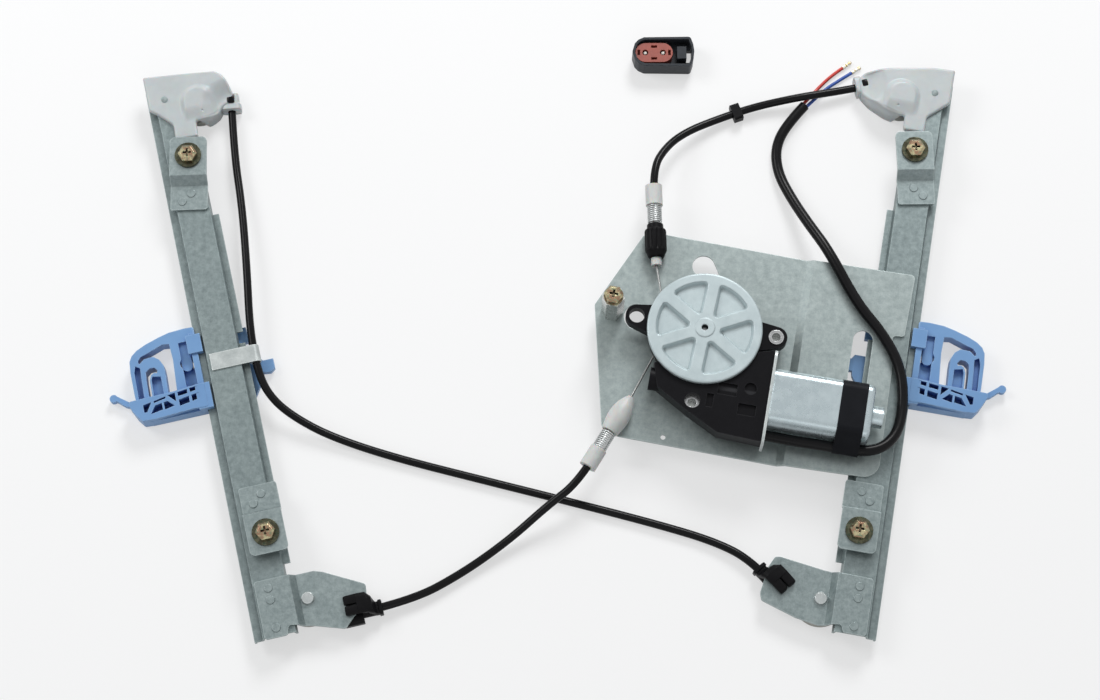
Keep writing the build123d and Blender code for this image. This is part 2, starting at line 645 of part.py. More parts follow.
# Cables on the rails: from each housing's neck over the top pulley, down the rail, round the
# bottom pulley and into the fitting at the plate's edge
with BuildPart() as rail_cables:
    for name, side, fit_s, fit_u, fit_turn in (
        ("left", LEFT, left_fitting_s, left_fitting_u, left_fitting_turn),
        ("right", RIGHT, right_fitting_s, right_fitting_u, right_fitting_turn),
    ):
        frame = rail_plane(side)
        neck_point = frame.to_local_coords(collar_places[name].origin)
        neck_foot = frame.to_local_coords(collar_places[name].origin + collar_places[name].z_dir)
        neck_way = neck_foot - neck_point
        start = neck_point - neck_way * collar_thickness
        over = top_pulley_u + top_wrap_radius
        reach = (over - start.Y) / neck_way.Y
        top_corner = start + neck_way * reach
        angle = math.radians(fit_turn)
        centre_s, centre_u = bottom_pin_s, bottom_pulley_u
        # The straight into the fitting is tangent to the pulley's lower side
        tangent_s = centre_s + bottom_wrap_radius * math.sin(angle)
        tangent_u = centre_u - bottom_wrap_radius * math.cos(angle)
        foot_u = tangent_u - (tangent_s - cable_line) * math.tan(angle)
        end_s = fit_s + fitting_length * math.cos(angle)
        end_u = tangent_u + (end_s - tangent_s) * math.tan(angle)
        route = [
            place(side, side * start.X, start.Y, cable_level),
            place(side, side * top_corner.X, over, cable_level),
            place(side, cable_line, over, cable_level),
            place(side, cable_line, foot_u, cable_level),
            place(side, end_s, end_u, cable_level),
        ]
        half_turn = math.radians((route[1] - route[0]).get_angle(route[2] - route[1]) / 2)
        top_bend = min(top_wrap_radius, abs(reach) * 0.9 / math.tan(half_turn))
        with BuildLine() as path:
            FilletPolyline(route, radius=[top_bend, top_wrap_radius, bottom_wrap_radius])
        with BuildSketch(Plane(origin=path.line @ 0, z_dir=path.line % 0)):
            Circle(cable_radius)
        sweep(path=path.line)
rail_cables.part.label = "rail_cables"
export_step(rail_cables.part, "parts/rail_cables.step")

# Conduit end fittings: a block with a slot for the plate's edge, and a round neck
fitting_seats = []
with BuildPart() as conduit_ends:
    for side, fit_s, fit_u, fit_turn in (
        (LEFT, left_fitting_s, left_fitting_u, left_fitting_turn),
        (RIGHT, right_fitting_s, right_fitting_u, right_fitting_turn),
    ):
        base = turned(side, fit_s, fit_u, fit_turn, cable_level)
        along = base.x_dir * side
        entry = Plane(origin=base.origin, x_dir=base.y_dir, z_dir=along)
        with BuildSketch(entry):
            RectangleRounded(fitting_width, fitting_height, fitting_height / 3)
        extrude(amount=fitting_length)
        with BuildSketch(entry.offset(fitting_length)):
            Circle(fitting_neck_radius)
        extrude(amount=fitting_neck)
        with BuildSketch(entry):
            Circle(cable_radius + cable_gap)
        extrude(amount=fitting_length, mode=Mode.SUBTRACT)
        with BuildSketch(entry.offset(fitting_length)):
            Circle(conduit_radius)
        extrude(amount=fitting_neck, mode=Mode.SUBTRACT)
        fitting_seats.append(entry.offset(fitting_length))
conduit_ends.part.label = "conduit_ends"
export_step(conduit_ends.part, "parts/conduit_ends.step")

# Sliders: an arch, a hairpin latch loop, a ribbed foot bar, two jaws on the guide flange joined by
# a rod, and a plate that reaches under the rail with a shoe inside the hat section
arch_shares = [
    (0.02, 0.98), (-0.13, 0.985), (-0.35, 0.975), (-0.51, 0.945), (-0.71, 0.897), (-0.855, 0.848),
    (-0.94, 0.797), (-0.985, 0.734), (-1.0, 0.605), (-1.0, 0.33), (-0.985, 0.12), (-0.93, 0.045),
    (-0.83, 0.0), (0.02, 0.0),
]
window_shares = [
    (-0.375, 0.844), (-0.476, 0.854), (-0.692, 0.795), (-0.816, 0.765), (-0.86, 0.724), (-0.865, 0.69),
    (-0.84, 0.69), (-0.771, 0.732), (-0.633, 0.737), (-0.555, 0.689), (-0.508, 0.613), (-0.504, 0.537),
    (-0.515, 0.27), (-0.39, 0.27), (-0.36, 0.655),
]
loop_slot_shares = [
    (-0.609, 0.572), (-0.65, 0.612), (-0.723, 0.611), (-0.78, 0.575), (-0.792, 0.48), (-0.795, 0.27),
    (-0.752, 0.27), (-0.745, 0.473), (-0.715, 0.531), (-0.664, 0.552), (-0.623, 0.542),
]
arch_recess_shares = [
    [(-0.58, 0.492), (-0.70, 0.512), (-0.72, 0.47), (-0.725, 0.27), (-0.58, 0.27)],
    [(-0.851, 0.64), (-0.915, 0.67), (-0.944, 0.597), (-0.949, 0.27), (-0.87, 0.27), (-0.86, 0.519)],
]
pocket_shares = [
    [(-0.90, 0.62), (-0.775, 0.68), (-0.86, 0.32), (-0.90, 0.34)],
    [(-0.74, 0.69), (-0.56, 0.78), (-0.56, 0.71), (-0.74, 0.62)],
    [(-0.73, 0.52), (-0.63, 0.56), (-0.63, 0.30), (-0.81, 0.22)],
    [(-0.60, 0.56), (-0.55, 0.60), (-0.45, 0.36), (-0.60, 0.28)],
    [(-0.53, 0.80), (-0.42, 0.84), (-0.42, 0.50)],
    [(-0.38, 0.84), (-0.24, 0.88), (-0.24, 0.72), (-0.38, 0.68)],
    [(-0.38, 0.54), (-0.23, 0.60), (-0.23, 0.36), (-0.38, 0.30)],
    [(-0.20, 0.90), (-0.09, 0.92), (-0.09, 0.78), (-0.20, 0.74)],
    [(-0.19, 0.62), (-0.075, 0.66), (-0.075, 0.44), (-0.19, 0.38)],
]
inner_shares = [
    (0.0, 0.0), (0.62, 0.0), (0.80, 0.06), (0.98, 0.25), (1.0, 0.31), (1.12, 0.30), (1.20, 0.34),
    (1.20, 0.45), (1.03, 0.45), (0.98, 0.50), (0.75, 0.50), (0.75, 0.70), (0.86, 0.70), (0.86, 0.88),
    (0.72, 0.88), (0.66, 0.98), (0.0, 1.0),
]
tail_shares = [
    (-0.98, 0.31), (-1.10, 0.306), (-1.21, 0.373), (-1.26, 0.405), (-1.32, 0.41), (-1.33, 0.37),
    (-1.267, 0.342), (-1.175, 0.275), (-1.11, 0.249), (-0.98, 0.23),
]
bead_share = (-1.32, 0.39)
bar_shares = [
    (0.02, 0.05), (0.02, 1.0), (-0.44, 0.9), (-0.83, 0.89), (-1.09, 0.87), (-1.1, 0.7), (-1.03, 0.32),
    (-0.95, 0.03), (-0.78, 0.0), (-0.18, 0.08),
]
for name, side in SIDES.items():
    size = (0, slider_reach, slider_foot, slider_height)
    bar_size = (0, slider_reach, slider_foot, bar_height)
    head_u = slider_foot + slider_height
    with BuildPart() as slider:
        # Arch and loop, cut by the window and the hooked latch slot
        with BuildSketch(rail_plane(side, slider_floor)) as arch:
            with BuildLine():
                Polyline(spread(side, *size, arch_shares), close=True)
            make_face()
            fillet(arch.vertices(), housing_corner)
            with BuildLine():
                Polyline(spread(side, *size, window_shares), close=True)
            make_face(mode=Mode.SUBTRACT)
            with BuildLine():
                Polyline(spread(side, *size, loop_slot_shares), close=True)
            make_face(mode=Mode.SUBTRACT)
        extrude(amount=slider_arch_top - slider_floor)
        # Shallow recesses beside the loop leave it and the arch as raised ribs
        with BuildSketch(rail_plane(side, slider_arch_top)):
            for shares in arch_recess_shares:
                with BuildLine():
                    Polyline(spread(side, *size, shares), close=True)
                make_face()
        extrude(amount=-recess_sink, mode=Mode.SUBTRACT)
        # The wall panel behind the jaws is thin
        panel_middle = (panel_inner + panel_outer) / 2 + panel_inner
        with BuildSketch(rail_plane(side, slider_plate_top)):
            with Locations((side * panel_middle / 1.15, slider_foot + slider_height * 0.57)):
                Rectangle(panel_inner - panel_outer - 2 * housing_wall, slider_height * 0.52)
        extrude(amount=cut_through, mode=Mode.SUBTRACT)
        # Foot bar with its truss of ribs
        with BuildSketch(rail_plane(side, slider_floor)) as bar:
            with BuildLine():
                Polyline(spread(side, *bar_size, bar_shares), close=True)
            make_face()
            fillet(bar.vertices(), housing_corner)
        extrude(amount=slider_top - slider_floor - housing_corner)
        with BuildSketch(rail_plane(side, slider_top - housing_corner)):
            for shares in pocket_shares:
                with BuildLine():
                    Polyline(spread(side, *bar_size, shares), close=True)
                make_face()
        extrude(amount=-pocket_depth, mode=Mode.SUBTRACT)
        # Plate under the rail, with its tab and hook on the inner side
        with BuildSketch(rail_plane(side, slider_floor)):
            with BuildLine():
                Polyline(
                    spread(side, 0, slider_inner_reach, slider_foot, slider_height, inner_shares),
                    close=True,
                )
            make_face()
        extrude(amount=slider_plate_top - slider_floor)
        with BuildSketch(rail_plane(side, slider_floor)):
            with Locations((side * (shoe_start + shoe_end) / 2, slider_foot + slider_height / 2)):
                Rectangle(shoe_end - shoe_start, slider_height * 0.9)
        extrude(amount=web_level - slider_gap - slider_floor)
        # Tail: a thin hook with a bead on its end
        with BuildSketch(rail_plane(side, slider_floor)):
            with BuildLine():
                Polyline(spread(side, *size, tail_shares), close=True)
            make_face()
            bead = spread(side, *size, [bead_share])[0]
            with Locations(bead):
                Circle(hook_end_radius)
        extrude(amount=slider_plate_top - slider_floor)
        # Jaws over and outside the guide flange, the rod between them, and the web behind
        jaws = (
            (slider_foot, lower_jaw_height),
            (head_u - upper_jaw_drop - upper_jaw_height, upper_jaw_height),
        )
        for jaw_u, jaw_height in jaws:
            with BuildSketch(rail_plane(side, slider_floor)) as jaw:
                with Locations((side * (jaw_back + jaw_reach) / 2, jaw_u + jaw_height / 2)):
                    Rectangle(jaw_reach - jaw_back, jaw_height)
                fillet(jaw.vertices(), rib_corner)
            extrude(amount=jaw_top - slider_floor)
        with BuildSketch(rail_plane(side, flange_level + rail_sheet + slider_gap)):
            with Locations((side * (jaw_back + grip_rod), slider_foot + slider_height / 2)):
                Rectangle(grip_rod, slider_height * 0.8)
        extrude(amount=jaw_top - flange_level - rail_sheet - slider_gap - housing_corner)
        # The guide flange and its lip run in this slot
        with BuildSketch(across_plane(side, slider_foot - cut_over)):
            with Locations((side * guide_flange / 2, flange_level + rail_sheet / 2)):
                Rectangle(guide_flange + 2 * slider_gap, rail_sheet + 2 * slider_gap)
            with Locations((side * rail_sheet / 2, flange_level - lip_drop / 2)):
                Rectangle(rail_sheet + 2 * slider_gap, lip_drop + 2 * slider_gap)
            web_side = guide_flange - rail_sheet - slider_gap
            with Locations((side * (web_side + jaw_reach) / 2, web_top / 2 + flange_level / 2)):
                Rectangle(jaw_reach - web_side, web_top - flange_level + 2 * cut_over)
            with Locations((side * (web_side + shoe_start) / 2, web_top)):
                Rectangle(shoe_start - web_side, 2 * (web_top - flange_level))
        extrude(amount=-(slider_height + 2 * cut_over), mode=Mode.SUBTRACT)
        # Cable channel and the two seats for the cable's nipples
        with BuildSketch(across_plane(side, slider_foot - cut_over)):
            with Locations((side * cable_line, channel_floor + web_level / 2)):
                Rectangle(2 * channel_half, web_level)
        extrude(amount=-(slider_height + 2 * cut_over), mode=Mode.SUBTRACT)
        for seat_u in (nipple_first_u, nipple_second_u):
            seat = across_plane(side, seat_u)
            seat_centre = place(side, cable_line, seat_u, cable_level)
            with BuildSketch(Plane(origin=seat_centre, x_dir=seat.x_dir, z_dir=seat.z_dir)):
                Circle(nipple_radius + nipple_clearance)
            extrude(amount=-(nipple_length + 2 * nipple_clearance), mode=Mode.SUBTRACT)
        # Latch tongue over its half-round hole
        hole_s, hole_u = panel_inner - tongue_width, slider_foot + slider_height * 0.58
        with BuildSketch(turned(side, hole_s, hole_u)):
            Circle(tongue_width * 0.62)
        extrude(amount=slider_arch_top, mode=Mode.SUBTRACT)
        with BuildSketch(turned(side, hole_s, hole_u + tongue_width, 0.0, slider_plate_top)):
            SlotOverall(tongue_width * 3.4, tongue_width, rotation=90)
        extrude(amount=(slider_arch_top - slider_plate_top) * 0.6)
    slider.part.label = f"slider_{name}"
    export_step(slider.part, f"parts/slider_{name}.step")
    with BuildPart() as cable_nipples:
        for seat_u in (nipple_first_u, nipple_second_u):
            seat = across_plane(side, seat_u)
            seat_centre = place(side, cable_line, seat_u + nipple_clearance, cable_level)
            with BuildSketch(Plane(origin=seat_centre, x_dir=seat.x_dir, z_dir=seat.z_dir)):
                Circle(nipple_radius)
                Circle(nipple_bore, mode=Mode.SUBTRACT)
            extrude(amount=-nipple_length)
    cable_nipples.part.label = f"cable_nipples_{name}"
    export_step(cable_nipples.part, f"parts/cable_nipples_{name}.step")

# Motor plate: flat over the rail's web, with a joggle down to the side that carries the gear motor
plate_shares = [
    (1.0, 0.607), (0.884, 0.979), (0.817, 1.0), (0.325, 0.988),
    (0.0, 0.995), (0.008, 0.692), (0.0455, 0.692), (0.032, 0.52), (0.028, 0.013), (0.348, 0.0),
    (0.854, 0.01), (0.91, 0.048),
]
broad_shares = [(0.0, 0.995), (0.008, 0.692), (0.028, 0.013)]
with BuildPart() as motor_plate:
    joggle_end = plate_joggle_s + plate_joggle_run
    knee = plate_sheet / 3
    far_s = plate_start + plate_reach + cut_over
    profile = [
        (0, web_top),
        (plate_joggle_s - knee, web_top),
        (joggle_end - knee, gear_side_top - plate_sheet),
        (far_s, gear_side_top - plate_sheet),
        (far_s, gear_side_top),
        (joggle_end + knee, gear_side_top),
        (plate_joggle_s + knee, plate_top),
        (0, plate_top),
    ]
    with BuildSketch(across_plane(RIGHT, plate_foot - cut_over)):
        with BuildLine():
            Polyline([(RIGHT * s, z) for s, z in profile], close=True)
        make_face()
    extrude(amount=-(plate_height + 2 * cut_over))
    plate_size = (plate_start, plate_reach, plate_foot, plate_height)
    with BuildSketch(rail_plane(RIGHT)) as blank:
        with BuildLine():
            Polyline(spread(RIGHT, *plate_size, plate_shares), close=True)
        make_face()
        broad = [
            blank.vertices().sort_by_distance(rail_plane(RIGHT).from_local_coords(Vector(x, y)))[0]
            for x, y in spread(RIGHT, *plate_size, broad_shares)
        ]
        small = [corner for corner in blank.vertices() if corner not in broad]
        fillet(small, plate_corner / 4)
        broad = [
            blank.vertices().sort_by_distance(rail_plane(RIGHT).from_local_coords(Vector(x, y)))[0]
            for x, y in spread(RIGHT, *plate_size, broad_shares)
        ]
        fillet(broad, plate_corner)
        # Long slot beside the rail, a drop-shaped window, and holes under the shaft, ears and jig
        with Locations((RIGHT * slot_s, (slot_low_u + slot_high_u) / 2)):
            SlotOverall(slot_high_u - slot_low_u, slot_width, rotation=90, mode=Mode.SUBTRACT)
        drop_foot = (RIGHT * (teardrop_s - teardrop_run), teardrop_u - teardrop_run)
        with BuildSketch(mode=Mode.PRIVATE) as drop:
            with Locations((RIGHT * teardrop_s, teardrop_u)):
                Circle(teardrop_radius)
            with Locations(drop_foot):
                Circle(teardrop_radius / 3)
            make_hull()
        add(drop.sketch, mode=Mode.SUBTRACT)
        for hole_s, hole_u, hole_radius in (
            (tooling_s, tooling_u, tooling_radius),
            (gear_s, gear_u, shaft_radius + pin_clearance),
            (left_ear_s, left_ear_u + ear_sight_shift, ear_sight_radius),
            (right_ear_s, right_ear_u, bush_bore),
            (bottom_ear_s, bottom_ear_u, bush_bore),
        ):
            with Locations((RIGHT * hole_s, hole_u)):
                Circle(hole_radius, mode=Mode.SUBTRACT)
    extrude(amount=cut_through, mode=Mode.INTERSECT)
motor_plate.part.label = "motor_plate"
export_step(motor_plate.part, "parts/motor_plate.step")

with BuildPart() as standoff:
    with BuildSketch(standoff_plane):
        RegularPolygon(standoff_across / 2, 6, major_radius=False)
    extrude(amount=standoff_height)
    with BuildSketch(standoff_plane.offset(standoff_height / 2)):
        Circle(screw_radius + pin_clearance)
    extrude(amount=standoff_height, mode=Mode.SUBTRACT)
standoff.part.label = "standoff"
export_step(standoff.part, "parts/standoff.step")

# Gear housing: a round wheel chamber, the motor block with its worm barrel, and three ears
gear_centre = turned(RIGHT, gear_s, gear_u)
ears = [(left_ear_s, left_ear_u), (right_ear_s, right_ear_u), (bottom_ear_s, bottom_ear_u)]
block_shares = [
    (0.0, 1.0), (0.0, 0.0), (0.38, 0.02), (0.65, 0.19), (0.94, 0.4), (1.0, 0.65),
]
with BuildPart() as gear_housing:
    with BuildSketch(gear_centre.offset(gearbox_floor)):
        Circle(gearbox_radius)
    extrude(amount=cover_top - cover_sheet - gearbox_floor)
    for ear_s, ear_u in ears:
        with BuildSketch(rail_plane(RIGHT, gearbox_floor)):
            with Locations((RIGHT * ear_s, ear_u)):
                Circle(ear_radius)
            with Locations((RIGHT * gear_s, gear_u)):
                Circle(gearbox_radius / 2)
            make_hull()
        extrude(amount=ear_top - gearbox_floor)
    with BuildSketch(rail_plane(RIGHT, gearbox_floor)) as block:
        with BuildLine():
            Polyline(
                spread(RIGHT, flange_face, block_reach, flange_low + block_rise, block_height, block_shares),
                close=True,
            )
        make_face()
    extrude(amount=gearbox_top - gearbox_floor)
    with BuildSketch(motor_plane(flange_face)):
        Circle(barrel_radius)
    extrude(amount=barrel_end - flange_face)
    # Wheel chamber, shaft bore, worm bore with a bearing seat at its end
    with BuildSketch(gear_centre.offset(gearbox_floor + gearbox_skin)):
        Circle(cavity_radius)
    extrude(amount=cut_through, mode=Mode.SUBTRACT)
    with BuildSketch(gear_centre):
        Circle(shaft_radius + pin_clearance)
    extrude(amount=cut_through, mode=Mode.SUBTRACT)
    with BuildSketch(motor_plane(flange_face)):
        Circle(worm_bore)
    extrude(amount=worm_bore_end - flange_face, mode=Mode.SUBTRACT)
    with BuildSketch(motor_plane(flange_face)):
        Circle(motor_shaft_radius + pin_clearance)
    extrude(amount=shaft_end - flange_face + slider_gap, mode=Mode.SUBTRACT)
    for (ear_s, ear_u), bore in zip(ears, (open_ear_radius, bush_radius, bush_radius)):
        with BuildSketch(turned(RIGHT, ear_s, ear_u)):
            Circle(bore)
        extrude(amount=cut_through, mode=Mode.SUBTRACT)
    # Shallow recesses in the block's top
    with BuildSketch(rail_plane(RIGHT, gearbox_top)):
        for centre_s, centre_u, recess_length, recess_height in block_recesses:
            with Locations((RIGHT * centre_s, centre_u)):
                Rectangle(recess_length, recess_height)
        with Locations((RIGHT * block_boss_s, block_boss_u)):
            Circle(block_boss_radius)
    extrude(amount=-block_recess_depth, mode=Mode.SUBTRACT)
gear_housing.part.label = "gear_housing"
export_step(gear_housing.part, "parts/gear_housing.step")

# Pressed cover: a shallow steel cap with six sunk pockets between its spokes
with BuildPart() as gear_cover:
    cap = gear_centre.offset(cover_top - cover_rim)
    with BuildSketch(cap):
        Circle(cover_radius)
    extrude(amount=cover_rim)
    fillet(gear_cover.faces().sort_by(Axis.Z)[-1].edges(), cover_sheet)
    with BuildSketch(cap):
        Circle(cover_radius - cover_sheet)
    extrude(amount=cover_rim - cover_sheet, mode=Mode.SUBTRACT)
    pocket_angle = math.radians(30)
    apex = spoke_half / math.sin(pocket_angle)
    side_run = pocket_outer * 2
    pocket_corners = [
        (apex, 0),
        (apex + side_run * math.cos(pocket_angle), side_run * math.sin(pocket_angle)),
        (apex + side_run * math.cos(pocket_angle), -side_run * math.sin(pocket_angle)),
    ]
    with BuildSketch(mode=Mode.PRIVATE) as pocket:
        with BuildLine():
            Polyline(pocket_corners, close=True)
        make_face()
        Circle(pocket_outer, mode=Mode.INTERSECT)
        fillet(pocket.vertices(), pocket_round)
    pocket_turns = [180 - spoke_turn - 60 * count for count in range(6)]
    for pocket_turn in pocket_turns:
        turned_plane = gear_centre.rotated((0, 0, pocket_turn)).offset(cover_top - cover_sheet)
        with BuildSketch(turned_plane):
            add(pocket.sketch)
        extrude(amount=-pocket_sink)
    for pocket_turn in pocket_turns:
        turned_plane = gear_centre.rotated((0, 0, pocket_turn)).offset(cover_top)
        with BuildSketch(turned_plane):
            add(pocket.sketch)
        extrude(amount=-pocket_sink, taper=pocket_slope, mode=Mode.SUBTRACT)
    with BuildSketch(gear_centre.offset(cover_top)):
        Circle(hub_radius)
    extrude(amount=hub_ring, taper=pocket_slope)
    with BuildSketch(gear_centre):
        Circle(hub_hole_radius)
    extrude(amount=cut_through, mode=Mode.SUBTRACT)
gear_cover.part.label = "gear_cover"
export_step(gear_cover.part, "parts/gear_cover.step")

# Worm wheel, output shaft and cable drum turn together
with BuildPart() as worm_wheel:
    pitch = 2 * math.pi / tooth_count
    tooth_steps = ((0.0, 0.0), (0.18, 1.0), (0.42, 1.0), (0.6, 0.0))
    rim = [
        Vector(wheel_radius - tooth_depth * (1 - height), 0, 0).rotate(
            Axis.Z, math.degrees((tooth + step) * pitch)
        )
        for tooth in range(tooth_count)
        for step, height in tooth_steps
    ]
    with BuildSketch(gear_centre.offset(motor_level - wheel_thickness / 2)):
        with BuildLine():
            Polyline(rim, close=True)
        make_face()
        Circle(shaft_radius, mode=Mode.SUBTRACT)
        with PolarLocations(wheel_radius / 2, 5):
            Circle(wheel_radius / 5, mode=Mode.SUBTRACT)
    extrude(amount=wheel_thickness)
worm_wheel.part.label = "worm_wheel"
export_step(worm_wheel.part, "parts/worm_wheel.step")

with BuildPart() as output_shaft:
    shaft_foot = gear_side_top - 2 * plate_sheet
    with BuildSketch(gear_centre.offset(shaft_foot)):
        Circle(shaft_radius)
    extrude(amount=motor_level + wheel_thickness - shaft_foot)
output_shaft.part.label = "output_shaft"
export_step(output_shaft.part, "parts/output_shaft.step")

with BuildPart() as cable_drum:
    groove_half = drum_lead + cable_radius + cable_gap
    groove_radius = drum_wrap_radius - cable_radius - cable_gap
    drum_profile = [
        (shaft_radius, drum_floor),
        (drum_rim_radius, drum_floor),
        (drum_rim_radius, drum_level - groove_half),
        (groove_radius, drum_level - groove_half),
        (groove_radius, drum_level + groove_half),
        (drum_rim_radius, drum_level + groove_half),
        (drum_rim_radius, drum_top),
        (shaft_radius, drum_top),
    ]
    with BuildSketch(Plane(origin=gear_centre.origin, x_dir=(1, 0, 0), z_dir=(0, -1, 0))):
        with BuildLine():
            Polyline(drum_profile, close=True)
        make_face()
    revolve(axis=Axis(gear_centre.origin, (0, 0, 1)))
cable_drum.part.label = "cable_drum"
export_step(cable_drum.part, "parts/cable_drum.step")


# Cable adjusters lie on the plate in line with their conduits
def adjuster_plane(s, u, turn):
    """A plane at an adjuster's tip, facing away from the drum."""
    base = rail_plane(RIGHT)
    away = base.y_dir * math.cos(math.radians(turn)) - base.x_dir * math.sin(math.radians(turn))
    return Plane(origin=place(RIGHT, s, u, drum_level), x_dir=(0, 0, 1), z_dir=away)


upper_adjuster = adjuster_plane(upper_adjuster_s, upper_adjuster_u, upper_adjuster_turn)
lower_adjuster = adjuster_plane(lower_adjuster_s, lower_adjuster_u, lower_adjuster_turn)
spring_length = spring_turns * spring_wire
upper_spring = upper_adjuster.offset(nipple_end_length + sleeve_length)
lower_spring = lower_adjuster.offset(boot_length)
with BuildPart() as adjuster_ferrules:
    with BuildSketch(upper_adjuster):
        Circle(nipple_end_radius)
    extrude(amount=nipple_end_length)
    with BuildSketch(upper_adjuster):
        Circle(2 * cable_radius)
    extrude(amount=cable_seat, mode=Mode.SUBTRACT)
    for spring_plane in (upper_spring, lower_spring):
        ferrule_plane = spring_plane.offset(spring_length)
        with BuildSketch(ferrule_plane):
            Circle(ferrule_radius)
        extrude(amount=ferrule_length)
        with BuildSketch(ferrule_plane.offset(ferrule_length)):
            Circle(conduit_radius)
        extrude(amount=-ferrule_length / 2, mode=Mode.SUBTRACT)
adjuster_ferrules.part.label = "adjuster_ferrules"
export_step(adjuster_ferrules.part, "parts/adjuster_ferrules.step")

with BuildPart() as adjuster_sleeve:
    with BuildSketch(upper_adjuster.offset(nipple_end_length)):
        Circle(sleeve_radius - sleeve_rib)
        with PolarLocations(sleeve_radius - sleeve_rib, sleeve_ribs):
            Rectangle(2 * sleeve_rib, 2 * sleeve_rib)
    extrude(amount=sleeve_length)
adjuster_sleeve.part.label = "adjuster_sleeve"
export_step(adjuster_sleeve.part, "parts/adjuster_sleeve.step")

with BuildPart() as adjuster_boot:
    boot_outline = [
        (0.0, boot_tip), (0.3, boot_radius * 0.86), (0.5, boot_radius), (0.72, boot_radius * 0.98),
    ]
    axis_point = lower_adjuster.origin
    boot_plane = Plane(origin=axis_point, x_dir=lower_adjuster.z_dir, z_dir=lower_adjuster.y_dir)
    with BuildSketch(boot_plane):
        with BuildLine():
            points = [(share * boot_length, radius) for share, radius in boot_outline]
            outline = Spline(points + [(boot_length, boot_heel)])
            Polyline([(boot_length, boot_heel), (boot_length, 0), (cable_seat, 0),
                      (cable_seat, 2 * cable_radius), (0, 2 * cable_radius), (0, boot_tip)])
        make_face()
    revolve(axis=Axis(axis_point, lower_adjuster.z_dir))
adjuster_boot.part.label = "adjuster_boot"
export_step(adjuster_boot.part, "parts/adjuster_boot.step")

with BuildPart() as adjuster_springs:
    for spring_plane in (upper_spring, lower_spring):
        coil = [(0, spring_radius - 2 * spring_wire)]
        for count in range(spring_turns):
            coil.append((count * spring_wire, spring_radius - spring_wire / 2))
            coil.append(((count + 0.5) * spring_wire, spring_radius))
        coil.append((spring_length, spring_radius - spring_wire / 2))
        coil.append((spring_length, spring_radius - 2 * spring_wire))
        coil_plane = Plane(origin=spring_plane.origin, x_dir=spring_plane.z_dir, z_dir=spring_plane.y_dir)
        with BuildSketch(coil_plane):
            with BuildLine():
                Polyline(coil, close=True)
            make_face()
        revolve(axis=Axis(spring_plane.origin, spring_plane.z_dir))
adjuster_springs.part.label = "adjuster_springs"
export_step(adjuster_springs.part, "parts/adjuster_springs.step")

# Drum cables: straight from each adjuster's tip, then round the drum to their ends in it
with BuildPart() as drum_cables:
    hub = place(RIGHT, gear_s, gear_u)
    for adjuster, sense in ((upper_adjuster, 1), (lower_adjuster, -1)):
        tip = adjuster.origin - hub
        tip_flat = Vector(tip.X, tip.Y, 0)
        tangent_turn = math.degrees(math.acos(drum_wrap_radius / tip_flat.length))
        leave_turn = math.degrees(math.atan2(tip.Y, tip.X)) + sense * tangent_turn
        level = Vector(hub.X, hub.Y, drum_level + sense * drum_lead)
        corner_radius = drum_wrap_radius / math.cos(math.radians(wrap_angle / 4))
        stations = [(wrap_angle / 4, corner_radius), (wrap_angle * 3 / 4, corner_radius),
                    (wrap_angle, drum_wrap_radius)]
        around = [
            level + Vector(radius, 0, 0).rotate(Axis.Z, leave_turn + sense * station)
            for station, radius in stations
        ]
        inward = (adjuster.origin - around[0]).normalized() * cable_seat
        with BuildLine() as path:
            run = FilletPolyline(
                [adjuster.origin + inward, *around],
                radius=[drum_wrap_radius, drum_wrap_radius * wrap_share],
            )
        with BuildSketch(Plane(origin=run @ 0, z_dir=run % 0)):
            Circle(cable_radius)
        sweep(path=path.line)
drum_cables.part.label = "drum_cables"
export_step(drum_cables.part, "parts/drum_cables.step")


# Motor: steel yoke with two flats, magnets inside, and the armature on a long shaft with the worm
def yoke_section(shrink=0.0):
    """The yoke's round section with its two flats, made smaller all round."""
    with BuildSketch(mode=Mode.PRIVATE) as outline:
        Circle(yoke_radius - shrink)
        Rectangle(3 * yoke_radius, 2 * (yoke_half - shrink), mode=Mode.INTERSECT)
        fillet(outline.vertices(), yoke_blend - shrink)
    return outline.sketch


yoke_mouth = flange_face - flange_sheet
with BuildPart() as yoke:
    with BuildSketch(motor_plane(yoke_end)):
        add(yoke_section())
    extrude(amount=yoke_mouth - yoke_end)
    fillet(yoke.faces().sort_by(Axis(place(RIGHT, 0, gear_u), -rail_plane(RIGHT).x_dir))[0].edges(),
           yoke_round)
    with BuildSketch(motor_plane(nose_end)):
        Circle(nose_radius)
    extrude(amount=yoke_end - nose_end + yoke_wall)
    with BuildSketch(motor_plane(yoke_end + yoke_wall)):
        add(yoke_section(yoke_wall))
    extrude(amount=yoke_mouth - yoke_end, mode=Mode.SUBTRACT)
    with BuildSketch(motor_plane(nose_end + nose_wall)):
        Circle(nose_radius - nose_wall)
    extrude(amount=yoke_end + yoke_wall - nose_end, mode=Mode.SUBTRACT)
yoke.part.label = "yoke"
export_step(yoke.part, "parts/yoke.step")

with BuildPart() as yoke_bearing:
    with BuildSketch(motor_plane(nose_end + 2 * nose_wall)):
        Circle(nose_radius - nose_wall)
        Circle(motor_shaft_radius + pin_clearance, mode=Mode.SUBTRACT)
    extrude(amount=yoke_end - nose_end - nose_wall)
yoke_bearing.part.label = "yoke_bearing"
export_step(yoke_bearing.part, "parts/yoke_bearing.step")

with BuildPart() as magnets:
    with BuildSketch(motor_plane(armature_start)):
        add(yoke_section(yoke_wall))
        Circle(yoke_radius - yoke_wall - magnet_thickness, mode=Mode.SUBTRACT)
        Rectangle(2 * yoke_radius, 2 * (yoke_half - yoke_wall - magnet_gap), mode=Mode.INTERSECT)
    extrude(amount=armature_length)
magnets.part.label = "magnets"
export_step(magnets.part, "parts/magnets.step")

